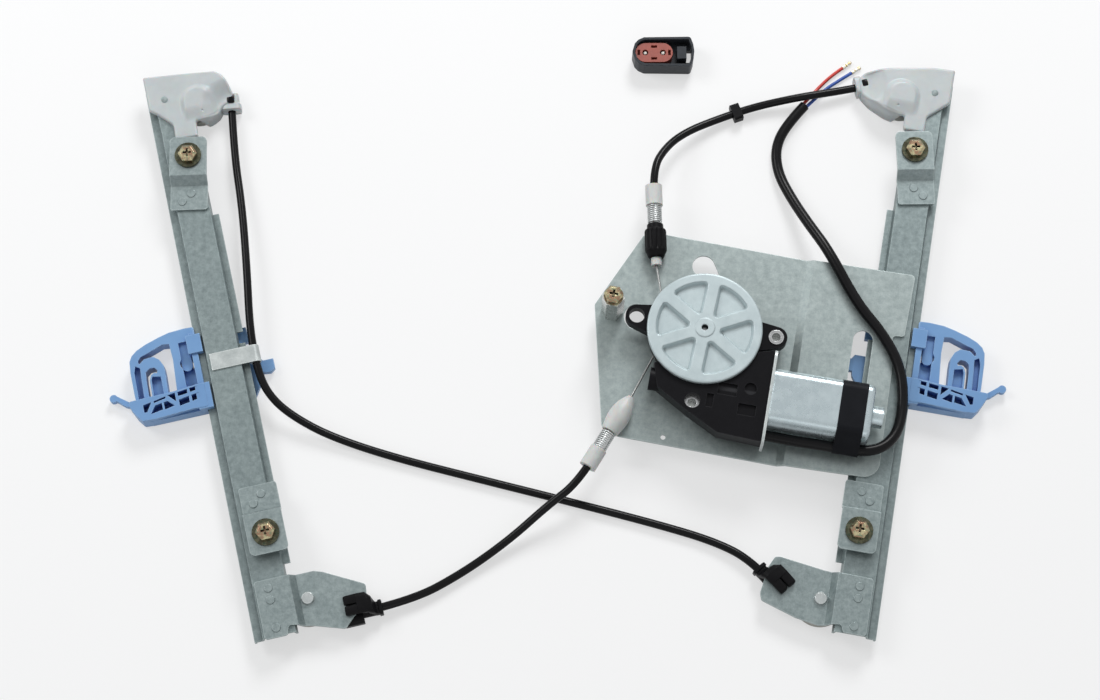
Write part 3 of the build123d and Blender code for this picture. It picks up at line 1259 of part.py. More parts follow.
with BuildPart() as armature:
    with BuildSketch(motor_plane(armature_start)):
        Circle(armature_radius)
        Circle(motor_shaft_radius, mode=Mode.SUBTRACT)
        with PolarLocations(armature_radius - armature_slot_depth / 2, armature_slots):
            Rectangle(armature_slot_depth + cut_over, armature_slot_width, mode=Mode.SUBTRACT)
    extrude(amount=armature_length)
armature.part.label = "armature"
export_step(armature.part, "parts/armature.step")

with BuildPart() as commutator:
    with BuildSketch(motor_plane(commutator_start)):
        Circle(commutator_radius)
        Circle(motor_shaft_radius, mode=Mode.SUBTRACT)
    extrude(amount=commutator_length)
commutator.part.label = "commutator"
export_step(commutator.part, "parts/commutator.step")

with BuildPart() as armature_shaft:
    shaft_start = nose_end + 2 * nose_wall
    with BuildSketch(motor_plane(shaft_start)):
        Circle(motor_shaft_radius)
    extrude(amount=shaft_end - shaft_start)
armature_shaft.part.label = "armature_shaft"
export_step(armature_shaft.part, "parts/armature_shaft.step")

with BuildPart() as worm:
    with BuildSketch(motor_plane(gear_s - worm_length / 2)):
        Circle(worm_radius)
        Circle(motor_shaft_radius, mode=Mode.SUBTRACT)
    extrude(amount=worm_length)
worm.part.label = "worm"
export_step(worm.part, "parts/worm.step")

with BuildPart() as brush_holder:
    ring_start = yoke_mouth - brush_ring
    with BuildSketch(motor_plane(ring_start)):
        add(yoke_section(yoke_wall))
        Circle(commutator_radius + brush_gap, mode=Mode.SUBTRACT)
    extrude(amount=brush_ring)
    brush_middle = commutator_radius + brush_gap + brush_depth / 2
    with BuildSketch(motor_plane(ring_start - brush_length)):
        with Locations((brush_middle, 0), (-brush_middle, 0)):
            Rectangle(brush_depth, brush_width)
    extrude(amount=brush_length)
brush_holder.part.label = "brush_holder"
export_step(brush_holder.part, "parts/brush_holder.step")

with BuildPart() as motor_flange:
    flange_middle_u, flange_middle_z = (flange_low + flange_high) / 2, (flange_floor + flange_top) / 2
    with BuildSketch(motor_plane(yoke_mouth, flange_middle_u, flange_middle_z)):
        RectangleRounded(flange_high - flange_low, flange_top - flange_floor, flange_corner)
    extrude(amount=flange_sheet)
    with BuildSketch(motor_plane(yoke_mouth)):
        Circle(flange_bore)
    extrude(amount=flange_sheet, mode=Mode.SUBTRACT)
motor_flange.part.label = "motor_flange"
export_step(motor_flange.part, "parts/motor_flange.step")

# Steel bushes carry two of the housing's ears above the plate; their screws come from beneath it
with BuildPart() as motor_bushes:
    for ear_s, ear_u in ears[1:]:
        with BuildSketch(turned(RIGHT, ear_s, ear_u, 0.0, gear_side_top)):
            Circle(bush_radius)
            Circle(bush_bore, mode=Mode.SUBTRACT)
        extrude(amount=ear_top + bush_proud - gear_side_top)
motor_bushes.part.label = "motor_bushes"
export_step(motor_bushes.part, "parts/motor_bushes.step")

with BuildPart() as motor_screws:
    for ear_s, ear_u in ears[1:]:
        head_seat = turned(RIGHT, ear_s, ear_u, 0.0, gear_side_top - plate_sheet)
        with BuildSketch(head_seat):
            RegularPolygon(motor_screw_head, 6)
        extrude(amount=-motor_screw_rise)
        with BuildSketch(head_seat):
            Circle(bush_bore - pin_clearance)
        extrude(amount=motor_screw_grip)
motor_screws.part.label = "motor_screws"
export_step(motor_screws.part, "parts/motor_screws.step")

# Tape holds the lead against the yoke
with BuildPart() as tape_band:
    lead_spot = (lead_u - gear_u + worm_offset, motor_level - lead_level)
    with BuildSketch(motor_plane(tape_start)):
        for shrink, mode in ((-tape_thickness, Mode.ADD), (0.0, Mode.SUBTRACT)):
            with BuildSketch(mode=Mode.PRIVATE) as loop:
                add(yoke_section(shrink))
                with Locations(lead_spot):
                    Circle(lead_radius - shrink)
                make_hull()
            add(loop.sketch, mode=mode)
    extrude(amount=tape_end - tape_start)
tape_band.part.label = "tape_band"
export_step(tape_band.part, "parts/tape_band.step")

# A steel strap crosses the left rail's web and curls round the conduit beside it
with BuildPart() as cable_clip:
    with BuildSketch(across_plane(LEFT, clip_u - clip_width / 2)):
        with Locations((clip_s, clip_level)):
            Circle(conduit_radius + clip_sheet)
        with Locations(((clip_start + clip_s) / 2, web_top + clip_sheet / 2)):
            Rectangle(clip_s - clip_start, clip_sheet)
        with Locations((clip_s, clip_level)):
            Circle(conduit_radius, mode=Mode.SUBTRACT)
    extrude(amount=-clip_width)
cable_clip.part.label = "cable_clip"
export_step(cable_clip.part, "parts/cable_clip.step")


# Conduits, lead and wires: straight runs joined by arcs, each as long as it is on the table
def make_cord(name, points, radius):
    radii = []
    points = [Vector(*point) for point in points]
    for before, corner, after in zip(points, points[1:], points[2:]):
        runs = corner - before, after - corner
        half_turn = math.radians(runs[0].get_angle(runs[1]) / 2)
        radii.append(bend_share * min(runs[0].length, runs[1].length) / math.tan(half_turn))
    with BuildPart() as cord:
        with BuildLine() as path:
            run = FilletPolyline(points, radius=radii)
        with BuildSketch(Plane(origin=run @ 0, z_dir=run % 0)):
            Circle(radius)
        sweep(path=path.line)
    cord.part.label = name
    export_step(cord.part, f"parts/{name}.step")
    swept = cord.part.volume / (math.pi * radius**2 * run.length)
    print(name, "length", round(run.length, 1), "volume share", round(swept, 4),
          "radii", [round(bend) for bend in radii])


left_seat, right_seat = fitting_seats
left_collar, right_collar = collar_places["left"], collar_places["right"]
upper_ferrule = upper_spring.offset(spring_length + ferrule_length / 2)
lower_ferrule = lower_spring.offset(spring_length + ferrule_length / 2)
make_cord(
    "conduit_upper",
    [
        right_collar.offset(-collar_thickness).origin,
        right_collar.offset(collar_run).origin,
        *upper_conduit_points,
        upper_ferrule.offset(ferrule_run).origin,
        upper_ferrule.origin,
    ],
    conduit_radius,
)
make_cord(
    "conduit_lower",
    [
        lower_ferrule.origin,
        lower_ferrule.offset(ferrule_run).origin,
        *lower_conduit_points,
        left_seat.offset(left_seat_run).origin,
        left_seat.origin,
    ],
    conduit_radius,
)
make_cord(
    "conduit_cross",
    [
        left_collar.offset(-collar_thickness).origin,
        left_collar.offset(left_collar_run).origin,
        *upper_cross_points,
        place(LEFT, clip_s, clip_u + clip_run, clip_level),
        place(LEFT, clip_s, clip_u - clip_run, clip_level),
        *lower_cross_points,
        right_seat.offset(right_seat_run).origin,
        right_seat.origin,
    ],
    conduit_radius,
)
make_cord(
    "motor_lead",
    [
        place(RIGHT, yoke_mouth, lead_u, lead_level),
        place(RIGHT, yoke_mouth - lead_run, lead_u - lead_sag, lead_level - lead_sag),
        place(RIGHT, tape_end + lead_run / 2, lead_u, lead_level),
        place(RIGHT, tape_start - lead_run / 2, lead_u, lead_level),
        *lead_points,
    ],
    lead_radius,
)
make_cord("red_wire", red_wire_points, wire_radius)
make_cord("blue_wire", blue_wire_points, wire_radius)

# Crimped blade terminals on the wires' ends
with BuildPart() as wire_terminals:
    for before, end in (red_wire_points[-2:], blue_wire_points[-2:]):
        tip = Vector(*end)
        away = (tip - Vector(*before)).normalized()
        crimp = Plane(origin=tip - away * terminal_length / 3, x_dir=(0, 0, 1), z_dir=away)
        with BuildSketch(crimp):
            Circle(wire_radius + terminal_sheet / 2)
            Circle(wire_radius, mode=Mode.SUBTRACT)
        extrude(amount=terminal_length / 3)
        with BuildSketch(crimp.offset(terminal_length / 3)):
            Rectangle(terminal_sheet, 2 * wire_radius)
        extrude(amount=terminal_length)
wire_terminals.part.label = "wire_terminals"
export_step(wire_terminals.part, "parts/wire_terminals.step")

# A black tie with a square head grips the upper conduit
with BuildPart() as conduit_tie:
    tie_start, tie_end = (Vector(*point) for point in upper_conduit_points[tie_count:tie_count + 2])
    tie_way = (tie_end - tie_start).normalized()
    tie_plane = Plane(origin=(tie_start + tie_end) / 2, x_dir=(0, 0, 1), z_dir=tie_way)
    with BuildSketch(tie_plane.offset(-tie_length / 2)):
        RectangleRounded(tie_height, tie_width, tie_corner)
        Circle(conduit_radius, mode=Mode.SUBTRACT)
    extrude(amount=tie_length)
conduit_tie.part.label = "conduit_tie"
export_step(conduit_tie.part, "parts/conduit_tie.step")

# Loose two-way connector: a shell with a lanyard loop, an insert and two contacts
connector_shares = [
    (0.0, 0.5), (0.04, 0.23), (0.1, 0.1), (0.19, 0.02), (0.94, 0.0), (0.985, 0.25), (1.0, 0.5),
]
connector_plane = Plane(origin=(connector_x, connector_y, 0), z_dir=(0, 0, 1))
with BuildSketch(mode=Mode.PRIVATE) as connector_outline:
    outline_shares = connector_shares + [(a, 1 - b) for a, b in reversed(connector_shares[1:-1])]
    with BuildLine():
        Polyline(
            spread(LEFT, -connector_length / 2, connector_length, -connector_width / 2, connector_width,
                   outline_shares),
            close=True,
        )
    make_face()
    fillet(connector_outline.vertices(), connector_corner)
with BuildPart() as connector_shell:
    with BuildSketch(connector_plane):
        add(connector_outline.sketch)
    extrude(amount=connector_height)
    with BuildSketch(connector_plane.offset(connector_height)):
        add(connector_outline.sketch)
        offset(amount=-connector_wall, mode=Mode.REPLACE)
    extrude(amount=-insert_depth, mode=Mode.SUBTRACT)
    loop_middle = connector_length / 2 - connector_wall - loop_reach / 2
    with BuildSketch(connector_plane):
        with Locations((loop_middle, 0)):
            Rectangle(loop_reach, loop_width)
    extrude(amount=connector_height, mode=Mode.SUBTRACT)
    # A step stands between the insert's seat and the loop
    step_middle = loop_middle - loop_reach / 2 - step_length / 2
    with BuildSketch(connector_plane):
        with Locations((step_middle, 0)):
            Rectangle(step_length, loop_width)
    extrude(amount=connector_height - connector_wall)
connector_shell.part.label = "connector_shell"
export_step(connector_shell.part, "parts/connector_shell.step")

insert_floor = connector_height - insert_depth
insert_middle = insert_length / 2 + insert_gap + connector_wall - connector_length / 2
insert_plane = Plane(origin=(connector_x + insert_middle, connector_y, insert_floor), z_dir=(0, 0, 1))
insert_height = insert_depth - connector_wall
contact_places = [(-contact_pitch / 2, 0), (contact_pitch / 2, 0)]
with BuildPart() as connector_insert:
    with BuildSketch(insert_plane):
        SlotOverall(insert_length, insert_width)
    extrude(amount=insert_height)
    with BuildSketch(insert_plane.offset(insert_height)):
        with Locations(*contact_places):
            Circle(socket_radius)
    extrude(amount=-contact_length, mode=Mode.SUBTRACT)
    # Key slots at the ends and the sides
    with BuildSketch(insert_plane.offset(insert_height)):
        end_place, side_place = insert_length * 0.41, insert_width * 0.31
        with Locations((end_place, 0), (-end_place, 0)):
            Rectangle(key_width, key_length)
        with Locations((0, side_place), (0, -side_place)):
            Rectangle(key_length, key_width)
    extrude(amount=-insert_height / 2, mode=Mode.SUBTRACT)
connector_insert.part.label = "connector_insert"
export_step(connector_insert.part, "parts/connector_insert.step")

with BuildPart() as connector_pins:
    with BuildSketch(insert_plane.offset(insert_height - contact_length)):
        with Locations(*contact_places):
            Circle(contact_radius)
    extrude(amount=contact_length - contact_drop)
connector_pins.part.label = "connector_pins"
export_step(connector_pins.part, "parts/connector_pins.step")
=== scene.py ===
import math
import bpy
import numpy as np
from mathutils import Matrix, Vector


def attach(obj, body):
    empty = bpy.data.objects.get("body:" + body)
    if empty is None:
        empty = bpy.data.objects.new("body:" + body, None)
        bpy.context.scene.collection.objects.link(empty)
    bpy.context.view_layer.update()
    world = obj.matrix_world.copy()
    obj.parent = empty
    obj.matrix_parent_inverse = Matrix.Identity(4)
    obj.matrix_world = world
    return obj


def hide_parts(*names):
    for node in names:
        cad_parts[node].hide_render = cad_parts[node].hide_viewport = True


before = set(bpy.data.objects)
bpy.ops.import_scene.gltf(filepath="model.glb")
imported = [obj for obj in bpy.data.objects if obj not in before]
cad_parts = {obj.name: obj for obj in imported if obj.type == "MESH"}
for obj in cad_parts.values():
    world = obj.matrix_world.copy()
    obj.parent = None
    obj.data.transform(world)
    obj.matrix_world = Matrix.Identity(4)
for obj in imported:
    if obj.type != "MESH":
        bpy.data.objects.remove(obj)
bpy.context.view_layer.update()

# Camera: stands over the lower half of the regulator and looks down at it, leaning eighteen
# degrees forward, so that the lower ends of the rails look a little nearer than the upper ones.
camera_data = bpy.data.cameras.new("camera")
camera_data.lens = 78.5
camera_data.sensor_width = 36.0
camera = bpy.data.objects.new("camera", camera_data)
camera.location = (-0.008, -0.5662, 1.7119)
camera.rotation_euler = (math.radians(18.0), 0.0, 0.0)
bpy.context.scene.collection.objects.link(camera)
bpy.context.scene.camera = camera

# Table: a pale even top that keeps the soft shadows, under three broad studio lamps. The room
# round it looks white to the lens and in mirror-like faces, and lights the part only softly.
table_half = 3.0
table_colour = (0.9, 0.91, 0.92, 1.0)
lamps = (
    ("lamp_key", (0.5, 1.8, 1.5), (0.05, 0.0, 0.0), 0.9, 36.0),
    ("lamp_side", (-1.6, 0.8, 1.5), (-0.05, 0.0, 0.0), 1.0, 16.0),
    ("lamp_front", (0.2, -1.9, 1.5), (0.0, 0.0, 0.0), 1.4, 3.5),
)
room_strength = 1.0
room_light = 0.34
table_glow = 0.55

table_mesh = bpy.data.meshes.new("table")
table_mesh.from_pydata(
    [(x * table_half, y * table_half, 0.0) for x, y in ((-1, -1), (1, -1), (1, 1), (-1, 1))],
    [],
    [(0, 1, 2, 3)],
)
table = bpy.data.objects.new("table", table_mesh)
bpy.context.scene.collection.objects.link(table)


class Value:
    """A number that a shader works out; arithmetic with it adds nodes to its tree."""

    def __init__(self, tree, socket):
        self.tree = tree
        self.socket = socket

    def into(self, target):
        self.tree.links.new(self.socket, target)

    def work(self, operation, *values):
        made = self.tree.nodes.new("ShaderNodeMath")
        made.operation = operation
        for target, value in zip(made.inputs, values):
            if isinstance(value, Value):
                value.into(target)
            else:
                target.default_value = value
        return Value(self.tree, made.outputs[0])

    def __add__(self, other):
        return self.work("ADD", self, other)

    def __sub__(self, other):
        return self.work("SUBTRACT", self, other)

    def __mul__(self, other):
        return self.work("MULTIPLY", self, other)

    def __rsub__(self, other):
        return self.work("SUBTRACT", other, self)

    __radd__ = __add__
    __rmul__ = __mul__


class Finish:
    """A material: nodes that feed one Principled shader, worked out in the piece's own metres."""

    def __init__(self, name, **fixed):
        self.material = bpy.data.materials.new(name)
        self.material.use_nodes = True
        self.tree = self.material.node_tree
        self.shader = self.tree.nodes["Principled BSDF"]
        self.spot = self.node("ShaderNodeTexCoord", output="Object")
        for name, value in fixed.items():
            self.input(name).default_value = value

    def input(self, name):
        return self.shader.inputs[name.replace("_", " ").title().replace("Ior", "IOR")]

    def node(self, kind, settings=(), values=(), output=0):
        made = self.tree.nodes.new(kind)
        for name, setting in dict(settings).items():
            setattr(made, name, setting)
        for name, value in dict(values).items():
            if isinstance(value, Value):
                value.into(made.inputs[name])
            else:
                made.inputs[name].default_value = value
        return Value(self.tree, made.outputs[output])

    def noise(self, scale, detail=3.0, roughness=0.5, spot=None):
        return self.node(
            "ShaderNodeTexNoise",
            {"noise_dimensions": "3D"},
            {"Vector": spot or self.spot, "Scale": scale, "Detail": detail, "Roughness": roughness},
        )

    def ramp(self, value, low, high):
        """0 up to low, 1 from high on, and smooth between them."""
        return self.node(
            "ShaderNodeMapRange",
            {"interpolation_type": "SMOOTHSTEP"},
            {"Value": value, "From Min": low, "From Max": high},
        )

    def mix(self, factor, first, second):
        return self.node(
            "ShaderNodeMix", {"data_type": "RGBA"}, {0: factor, 6: first, 7: second}, output=2
        )

    def bump(self, height, depth, edge=0.0):
        """Fine relief, on edges that look rounded to the radius edge."""
        values = {"Height": height, "Distance": depth, "Strength": 1.0}
        if edge:
            values["Normal"] = self.node("ShaderNodeBevel", {"samples": 4}, {"Radius": edge})
        return self.node("ShaderNodeBump", (), values)

    def hollow(self, reach, low=0.2, high=0.8):
        """0 in narrow corners, 1 in the open: the mask for painted shade in corners."""
        seen = self.node(
            "ShaderNodeAmbientOcclusion",
            {"samples": 5, "only_local": True},
            {"Distance": reach},
            output="AO",
        )
        return self.ramp(seen, low, high)

    def rim(self, reach, low=0.35, high=0.8):
        """1 along outer edges, 0 on broad faces: the mask for painted highlights on edges."""
        seen = self.node(
            "ShaderNodeAmbientOcclusion",
            {"samples": 5, "inside": True, "only_local": True},
            {"Distance": reach},
            output="AO",
        )
        return 1.0 - self.ramp(seen, low, high)

    def set(self, **values):
        for name, value in values.items():
            value.into(self.input(name))
        return self


def paint(finish, *nodes):
    """Gives CAD nodes or new pieces this finish."""
    for node in nodes:
        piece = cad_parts[node] if isinstance(node, str) else node
        if not piece.material_slots:
            piece.data.materials.append(finish.material)
        for place in piece.material_slots:
            place.material = finish.material


def looks(tree):
    """1 for the lens and for rays that a mirror-like or clear surface sends on, else 0."""
    path = tree.nodes.new("ShaderNodeLightPath")
    lens, mirror, glass = (
        Value(tree, path.outputs["Is " + kind + " Ray"])
        for kind in ("Camera", "Glossy", "Transmission")
    )
    return lens.work("MAXIMUM", lens.work("MAXIMUM", lens, mirror), glass)


table_finish = Finish("table_top", roughness=0.9)
table_cloud = table_finish.noise(3.0)
table_finish.set(
    base_color=table_finish.mix(table_cloud, table_colour, tuple(0.985 * c for c in table_colour))
)
glow = table_finish.tree.nodes.new("ShaderNodeEmission")
lit = table_finish.tree.nodes.new("ShaderNodeMixShader")
(looks(table_finish.tree) * table_glow).into(lit.inputs[0])
table_finish.tree.links.new(table_finish.shader.outputs[0], lit.inputs[1])
table_finish.tree.links.new(glow.outputs[0], lit.inputs[2])
table_finish.tree.links.new(lit.outputs[0], table_finish.tree.nodes["Material Output"].inputs[0])
paint(table_finish, table)
for name, spot, aim, size, power in lamps:
    light = bpy.data.lights.new(name, "AREA")
    light.shape = "DISK"
    light.size = size
    light.energy = power
    lamp = bpy.data.objects.new(name, light)
    lamp.location = spot
    lamp.rotation_euler = (Vector(aim) - Vector(spot)).to_track_quat("-Z", "Y").to_euler()
    bpy.context.scene.collection.objects.link(lamp)

world = bpy.data.worlds.new("room")
bpy.context.scene.world = world
world.use_nodes = True
room = world.node_tree
walls = room.nodes["Background"]
(looks(room) * (room_strength - room_light) + room_light).into(walls.inputs["Strength"])
walls.inputs["Color"].default_value = (1.0, 1.0, 1.0, 1.0)
bpy.context.scene.view_settings.view_transform = "Standard"


# Conduits: three glossy black sleeves that the drive cables run through, one above, one below
# and one across. Their ends push into the nylon housings, the end plates and the adjusters.
def cord_line(name, points, diameter):
    """An open spline whose control points are the route's points, bevelled to a round cord."""
    data = bpy.data.curves.new(name, "CURVE")
    data.dimensions = "3D"
    data.bevel_depth = diameter / 2
    data.bevel_resolution = 6
    data.resolution_u = 16
    data.use_fill_caps = True
    run = data.splines.new("NURBS")
    run.points.add(len(points) - 1)
    for place, point in zip(run.points, points):
        place.co = (*point, 1.0)
    run.order_u = 3
    run.use_endpoint_u = True
    line = bpy.data.objects.new(name, data)
    bpy.context.scene.collection.objects.link(line)
    return line


conduit_diameter = 0.006
conduit_routes = {
    "conduit_upper": (0.212, (
        (0.2328, 0.2022, 0.00655), (0.21763, 0.19903, 0.00655), (0.199, 0.1952, 0.0083),
        (0.18, 0.1918, 0.0083), (0.15, 0.186, 0.0052), (0.122, 0.176, 0.005),
        (0.096, 0.163, 0.0095), (0.08, 0.147, 0.017), (0.07012, 0.12679, 0.0239),
        (0.07059, 0.10479, 0.0239),
    )),
    "conduit_lower": (0.206, (
        (0.02338, -0.10044, 0.0239), (0.01195, -0.11924, 0.0239), (-0.01, -0.1345, 0.016),
        (-0.038, -0.158, 0.007), (-0.072, -0.182, 0.0036), (-0.10807, -0.20246, 0.006),
        (-0.14312, -0.21068, 0.006),
    )),
    "conduit_cross": (0.6396, (
        (-0.25399, 0.18583, 0.00655), (-0.25061, 0.14647, 0.00655), (-0.242, 0.1, 0.0105),
        (-0.236, 0.048, 0.014), (-0.23183, -0.00059, 0.0145), (-0.22361, -0.03564, 0.0145),
        (-0.213, -0.053, 0.0128), (-0.196, -0.066, 0.0095), (-0.17, -0.079, 0.005),
        (-0.125, -0.094, 0.00305), (-0.06, -0.111, 0.00305), (0.01, -0.129, 0.00305),
        (0.07, -0.145, 0.00305), (0.112, -0.158, 0.0034), (0.13812, -0.17248, 0.006),
        (0.15256, -0.18909, 0.006),
    )),
}
conduit_finish = Finish("conduit_black", metallic=0.0, specular_ior_level=0.12)
conduit_film = conduit_finish.noise(60.0, 4.0)
conduit_grain = conduit_finish.noise(900.0, 2.0)
conduit_finish.set(
    base_color=conduit_finish.mix(
        conduit_film, (0.002, 0.002, 0.0025, 1), (0.006, 0.006, 0.007, 1)
    ),
    roughness=conduit_film * 0.16 + 0.14,
    normal=conduit_finish.bump(conduit_grain, 0.00002),
)
for conduit_name, (conduit_length, conduit_points) in conduit_routes.items():
    conduit = cord_line(conduit_name + "_sleeve", conduit_points, conduit_diameter)
    paint(conduit_finish, conduit)
    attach(conduit, "base")
    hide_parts(conduit_name)

# Motor lead: a black rubber sheath over two wires, which leaves the motor's flange, turns round
# the yoke's end and runs up the plate to a point under the upper conduit. Only the tape holds it.
lead_diameter = 0.008
lead_points = (
    (0.148, -0.08572, 0.032), (0.16663, -0.08948, 0.0316), (0.18776, -0.09287, 0.032),
    (0.22516, -0.0996, 0.032), (0.2449, -0.0863, 0.028), (0.2518, -0.0596, 0.0245),
    (0.2508, -0.031, 0.024), (0.2391, -0.0055, 0.024), (0.2202, 0.0193, 0.0242),
    (0.2012, 0.0603, 0.0242), (0.187, 0.086, 0.016), (0.1755, 0.11, 0.008),
    (0.1665, 0.132, 0.0041), (0.1655, 0.153, 0.0041), (0.175, 0.172, 0.0041),
    (0.189, 0.1875, 0.0041),
)
lead = cord_line("lead_sheath", lead_points, lead_diameter)
lead_finish = Finish("lead_rubber", metallic=0.0, specular_ior_level=0.12)
lead_film = lead_finish.noise(45.0, 4.0)
lead_finish.set(
    base_color=lead_finish.mix(lead_film, (0.002, 0.002, 0.0025, 1), (0.007, 0.007, 0.008, 1)),
    roughness=lead_film * 0.2 + 0.18,
    normal=lead_finish.bump(lead_finish.noise(700.0, 2.0), 0.00004),
)
paint(lead_finish, lead)
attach(lead, "base")
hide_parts("motor_lead")

# Wires: the red and the blue wire come out of the sheath's end and spread a little, each with
# a crimped tinned terminal on its stripped end. They lie on the table beside the nylon housing.
def grid_piece(name, points, closed_rows=False, capped=False):
    """A mesh on a grid of points, rows by columns, whose columns close into rings."""
    rows, columns = points.shape[:2]
    index = np.arange(rows * columns).reshape(rows, columns)
    below = index if closed_rows else index[:-1]
    above = np.roll(index, -1, axis=0) if closed_rows else index[1:]
    faces = np.stack(
        [below, np.roll(below, -1, axis=1), np.roll(above, -1, axis=1), above], axis=-1
    ).reshape(-1, 4).tolist()
    if capped:
        faces += [index[0][::-1].tolist(), index[-1].tolist()]
    mesh = bpy.data.meshes.new(name)
    mesh.from_pydata(points.reshape(-1, 3).tolist(), [], faces)
    mesh.polygons.foreach_set("use_smooth", np.ones(len(faces), dtype=bool))
    piece = bpy.data.objects.new(name, mesh)
    bpy.context.scene.collection.objects.link(piece)
    return piece


def ring_run(name, start, way, side, stations, power=4.0, rows=60, columns=24):
    """Rings carried straight along the way: each is a superellipse of the station's half width
    and half height, moved aside and lifted by the station's last two numbers. Between stations
    all five numbers change in a straight line."""
    way, side = (Vector(v).normalized() for v in (way, side))
    up = side.cross(way)
    table = np.array([tuple(station) + (0.0,) * (5 - len(station)) for station in stations])
    fine = np.unique(np.concatenate([table[:, 0], np.linspace(table[0, 0], table[-1, 0], rows)]))
    half_width, half_height, shift, lift = (
        np.interp(fine, table[:, 0], table[:, column])[:, None] for column in (1, 2, 3, 4)
    )
    ring = np.linspace(2 * np.pi, 0.0, columns, endpoint=False)[None, :]
    square = 1.0 / (np.abs(np.cos(ring)) ** power + np.abs(np.sin(ring)) ** power) ** (1 / power)
    parts = (
        (fine[:, None] * np.ones_like(ring), way),
        (half_width * square * np.cos(ring) + shift, side),
        (half_height * square * np.sin(ring) + lift, up),
    )
    points = np.array(start) + sum(amount[..., None] * np.array(axis) for amount, axis in parts)
    return grid_piece(name, points, capped=True)


terminal_stations = (
    (0.0, 0.00145, 0.00135), (0.0023, 0.00145, 0.00135), (0.0026, 0.0008, 0.0009),
    (0.0031, 0.0008, 0.0008), (0.0035, 0.0012, 0.0011), (0.0048, 0.0012, 0.0011),
    (0.0053, 0.0007, 0.0008), (0.0058, 0.0007, 0.0008), (0.0061, 0.0013, 0.001),
    (0.0079, 0.0013, 0.001), (0.0085, 0.0006, 0.0005),
)
terminal_tin = Finish("terminal_tin", metallic=0.9)
terminal_film = terminal_tin.noise(500.0, 3.0)
terminal_tin.set(
    base_color=terminal_tin.mix(
        terminal_tin.ramp(terminal_film, 0.4, 0.62), (0.62, 0.61, 0.56, 1), (0.45, 0.35, 0.16, 1)
    ),
    roughness=terminal_film * 0.2 + 0.2,
)
wire_diameter = 0.0026
wire_routes = {
    "red_wire": (0.0471, (0.62, 0.035, 0.02, 1), (
        (0.1868, 0.1875, 0.0041), (0.193, 0.1944, 0.0032), (0.201, 0.204, 0.0015),
        (0.211, 0.214, 0.0015), (0.22, 0.2205, 0.0016),
    )),
    "blue_wire": (0.0494, (0.02, 0.09, 0.42, 1), (
        (0.1892, 0.1853, 0.0041), (0.197, 0.1932, 0.0032), (0.206, 0.2025, 0.0015),
        (0.217, 0.21, 0.0016), (0.227, 0.2165, 0.0015),
    )),
}
for wire_name, (wire_length, wire_colour, wire_points) in wire_routes.items():
    wire = cord_line(wire_name + "_skin", wire_points, wire_diameter)
    wire_finish = Finish(wire_name + "_skin", metallic=0.0)
    wire_film = wire_finish.noise(300.0, 3.0)
    wire_dark = tuple(0.7 * c for c in wire_colour[:3]) + (1.0,)
    wire_finish.set(
        base_color=wire_finish.mix(wire_film, wire_dark, wire_colour),
        roughness=wire_film * 0.2 + 0.3,
    )
    paint(wire_finish, wire)
    wire_way = [a - b for a, b in zip(wire_points[-1], wire_points[-2])]
    wire_side = Vector(wire_way).cross(Vector((0.0, 0.0, 1.0)))
    terminal = ring_run(
        wire_name + "_terminal", wire_points[-1], wire_way, wire_side, terminal_stations
    )
    paint(terminal_tin, terminal)
    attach(terminal, "base")
    if wire_name == "red_wire":
        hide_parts("wire_terminals")
    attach(wire, "base")
    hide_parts(wire_name)

# Rails: two roll-formed steel channels with folded flanges, zinc plated. The brackets are
# clinched to their webs, and the sliders run along their outer flanges.
def zinc_finish(
    name, dark, light, grain, spangle, metal=0.5, rough=0.4, edge=0.0005, relief=0.00003
):
    """Zinc plate: cloudy patches, faint crystal spangles, rolling lines, scuffs and fine pits, with
    painted shade in narrow corners and a painted highlight along outer edges.
    """
    zinc = Finish(name, metallic=metal)
    cloud = zinc.noise(grain, 5.0, 0.6)
    patch = zinc.noise(grain / 6, 3.0)
    speck = zinc.noise(1300.0, 2.0, 0.6)
    crystal = zinc.node(
        "ShaderNodeTexVoronoi", {"feature": "F1"}, {"Vector": zinc.spot, "Scale": spangle}
    )
    stretched = zinc.node(
        "ShaderNodeMapping",
        {"vector_type": "POINT"},
        {"Vector": zinc.spot, "Scale": (1.0, 0.06, 1.0)},
    )
    lines = zinc.noise(1400.0, 2.0, 0.5, stretched)
    pits = zinc.ramp(zinc.noise(grain * 7, 3.0, 0.7), 0.62, 0.74)
    tone = cloud * 0.5 + patch * 0.14 + crystal * 0.1 + lines * 0.08 + speck * 0.3
    scuff = zinc.ramp(zinc.noise(grain / 2.5, 6.0, 0.75), 0.56, 0.72)
    shade = zinc.ramp(tone, 0.24, 0.92) * (1.0 - pits * 0.3)
    # Narrow corners are painted darker as shade.
    corner_shade = tuple(0.35 * c for c in dark[:3]) + (1.0,)
    # Outer edges are painted lighter as a highlight.
    edge_highlight = tuple(1.45 * c for c in light[:3]) + (1.0,)
    plated_with_highlight = zinc.mix(zinc.rim(0.0012) * 0.85, zinc.mix(shade, dark, light), edge_highlight)
    skin = lines * 0.4 + crystal * 0.2 + speck * 0.4 - pits * pits * 0.6
    zinc.set(
        base_color=zinc.mix(zinc.hollow(0.004), corner_shade, plated_with_highlight),
        roughness=cloud * 0.16 + scuff * 0.14 + (rough - 0.1),
        normal=zinc.bump(skin, relief, edge),
    )
    return zinc


rail_zinc = zinc_finish(
    "rail_zinc", (0.12, 0.155, 0.16, 1), (0.28, 0.335, 0.335, 1), grain=240.0, spangle=420.0
)
paint(rail_zinc, "rail_left", "rail_right")

# Brackets and end plates: pressed from thicker sheet, so their zinc is a little brighter and
# more cloudy than the rails'. Each is clinched to its rail's web.
bracket_zinc = zinc_finish(
    "bracket_zinc", (0.14, 0.18, 0.185, 1), (0.32, 0.375, 0.375, 1), grain=260.0, spangle=480.0
)
paint(
    bracket_zinc,
    "upper_bracket_left", "upper_bracket_right", "lower_bracket_left", "lower_bracket_right",
    "end_plate_left", "end_plate_right",
)

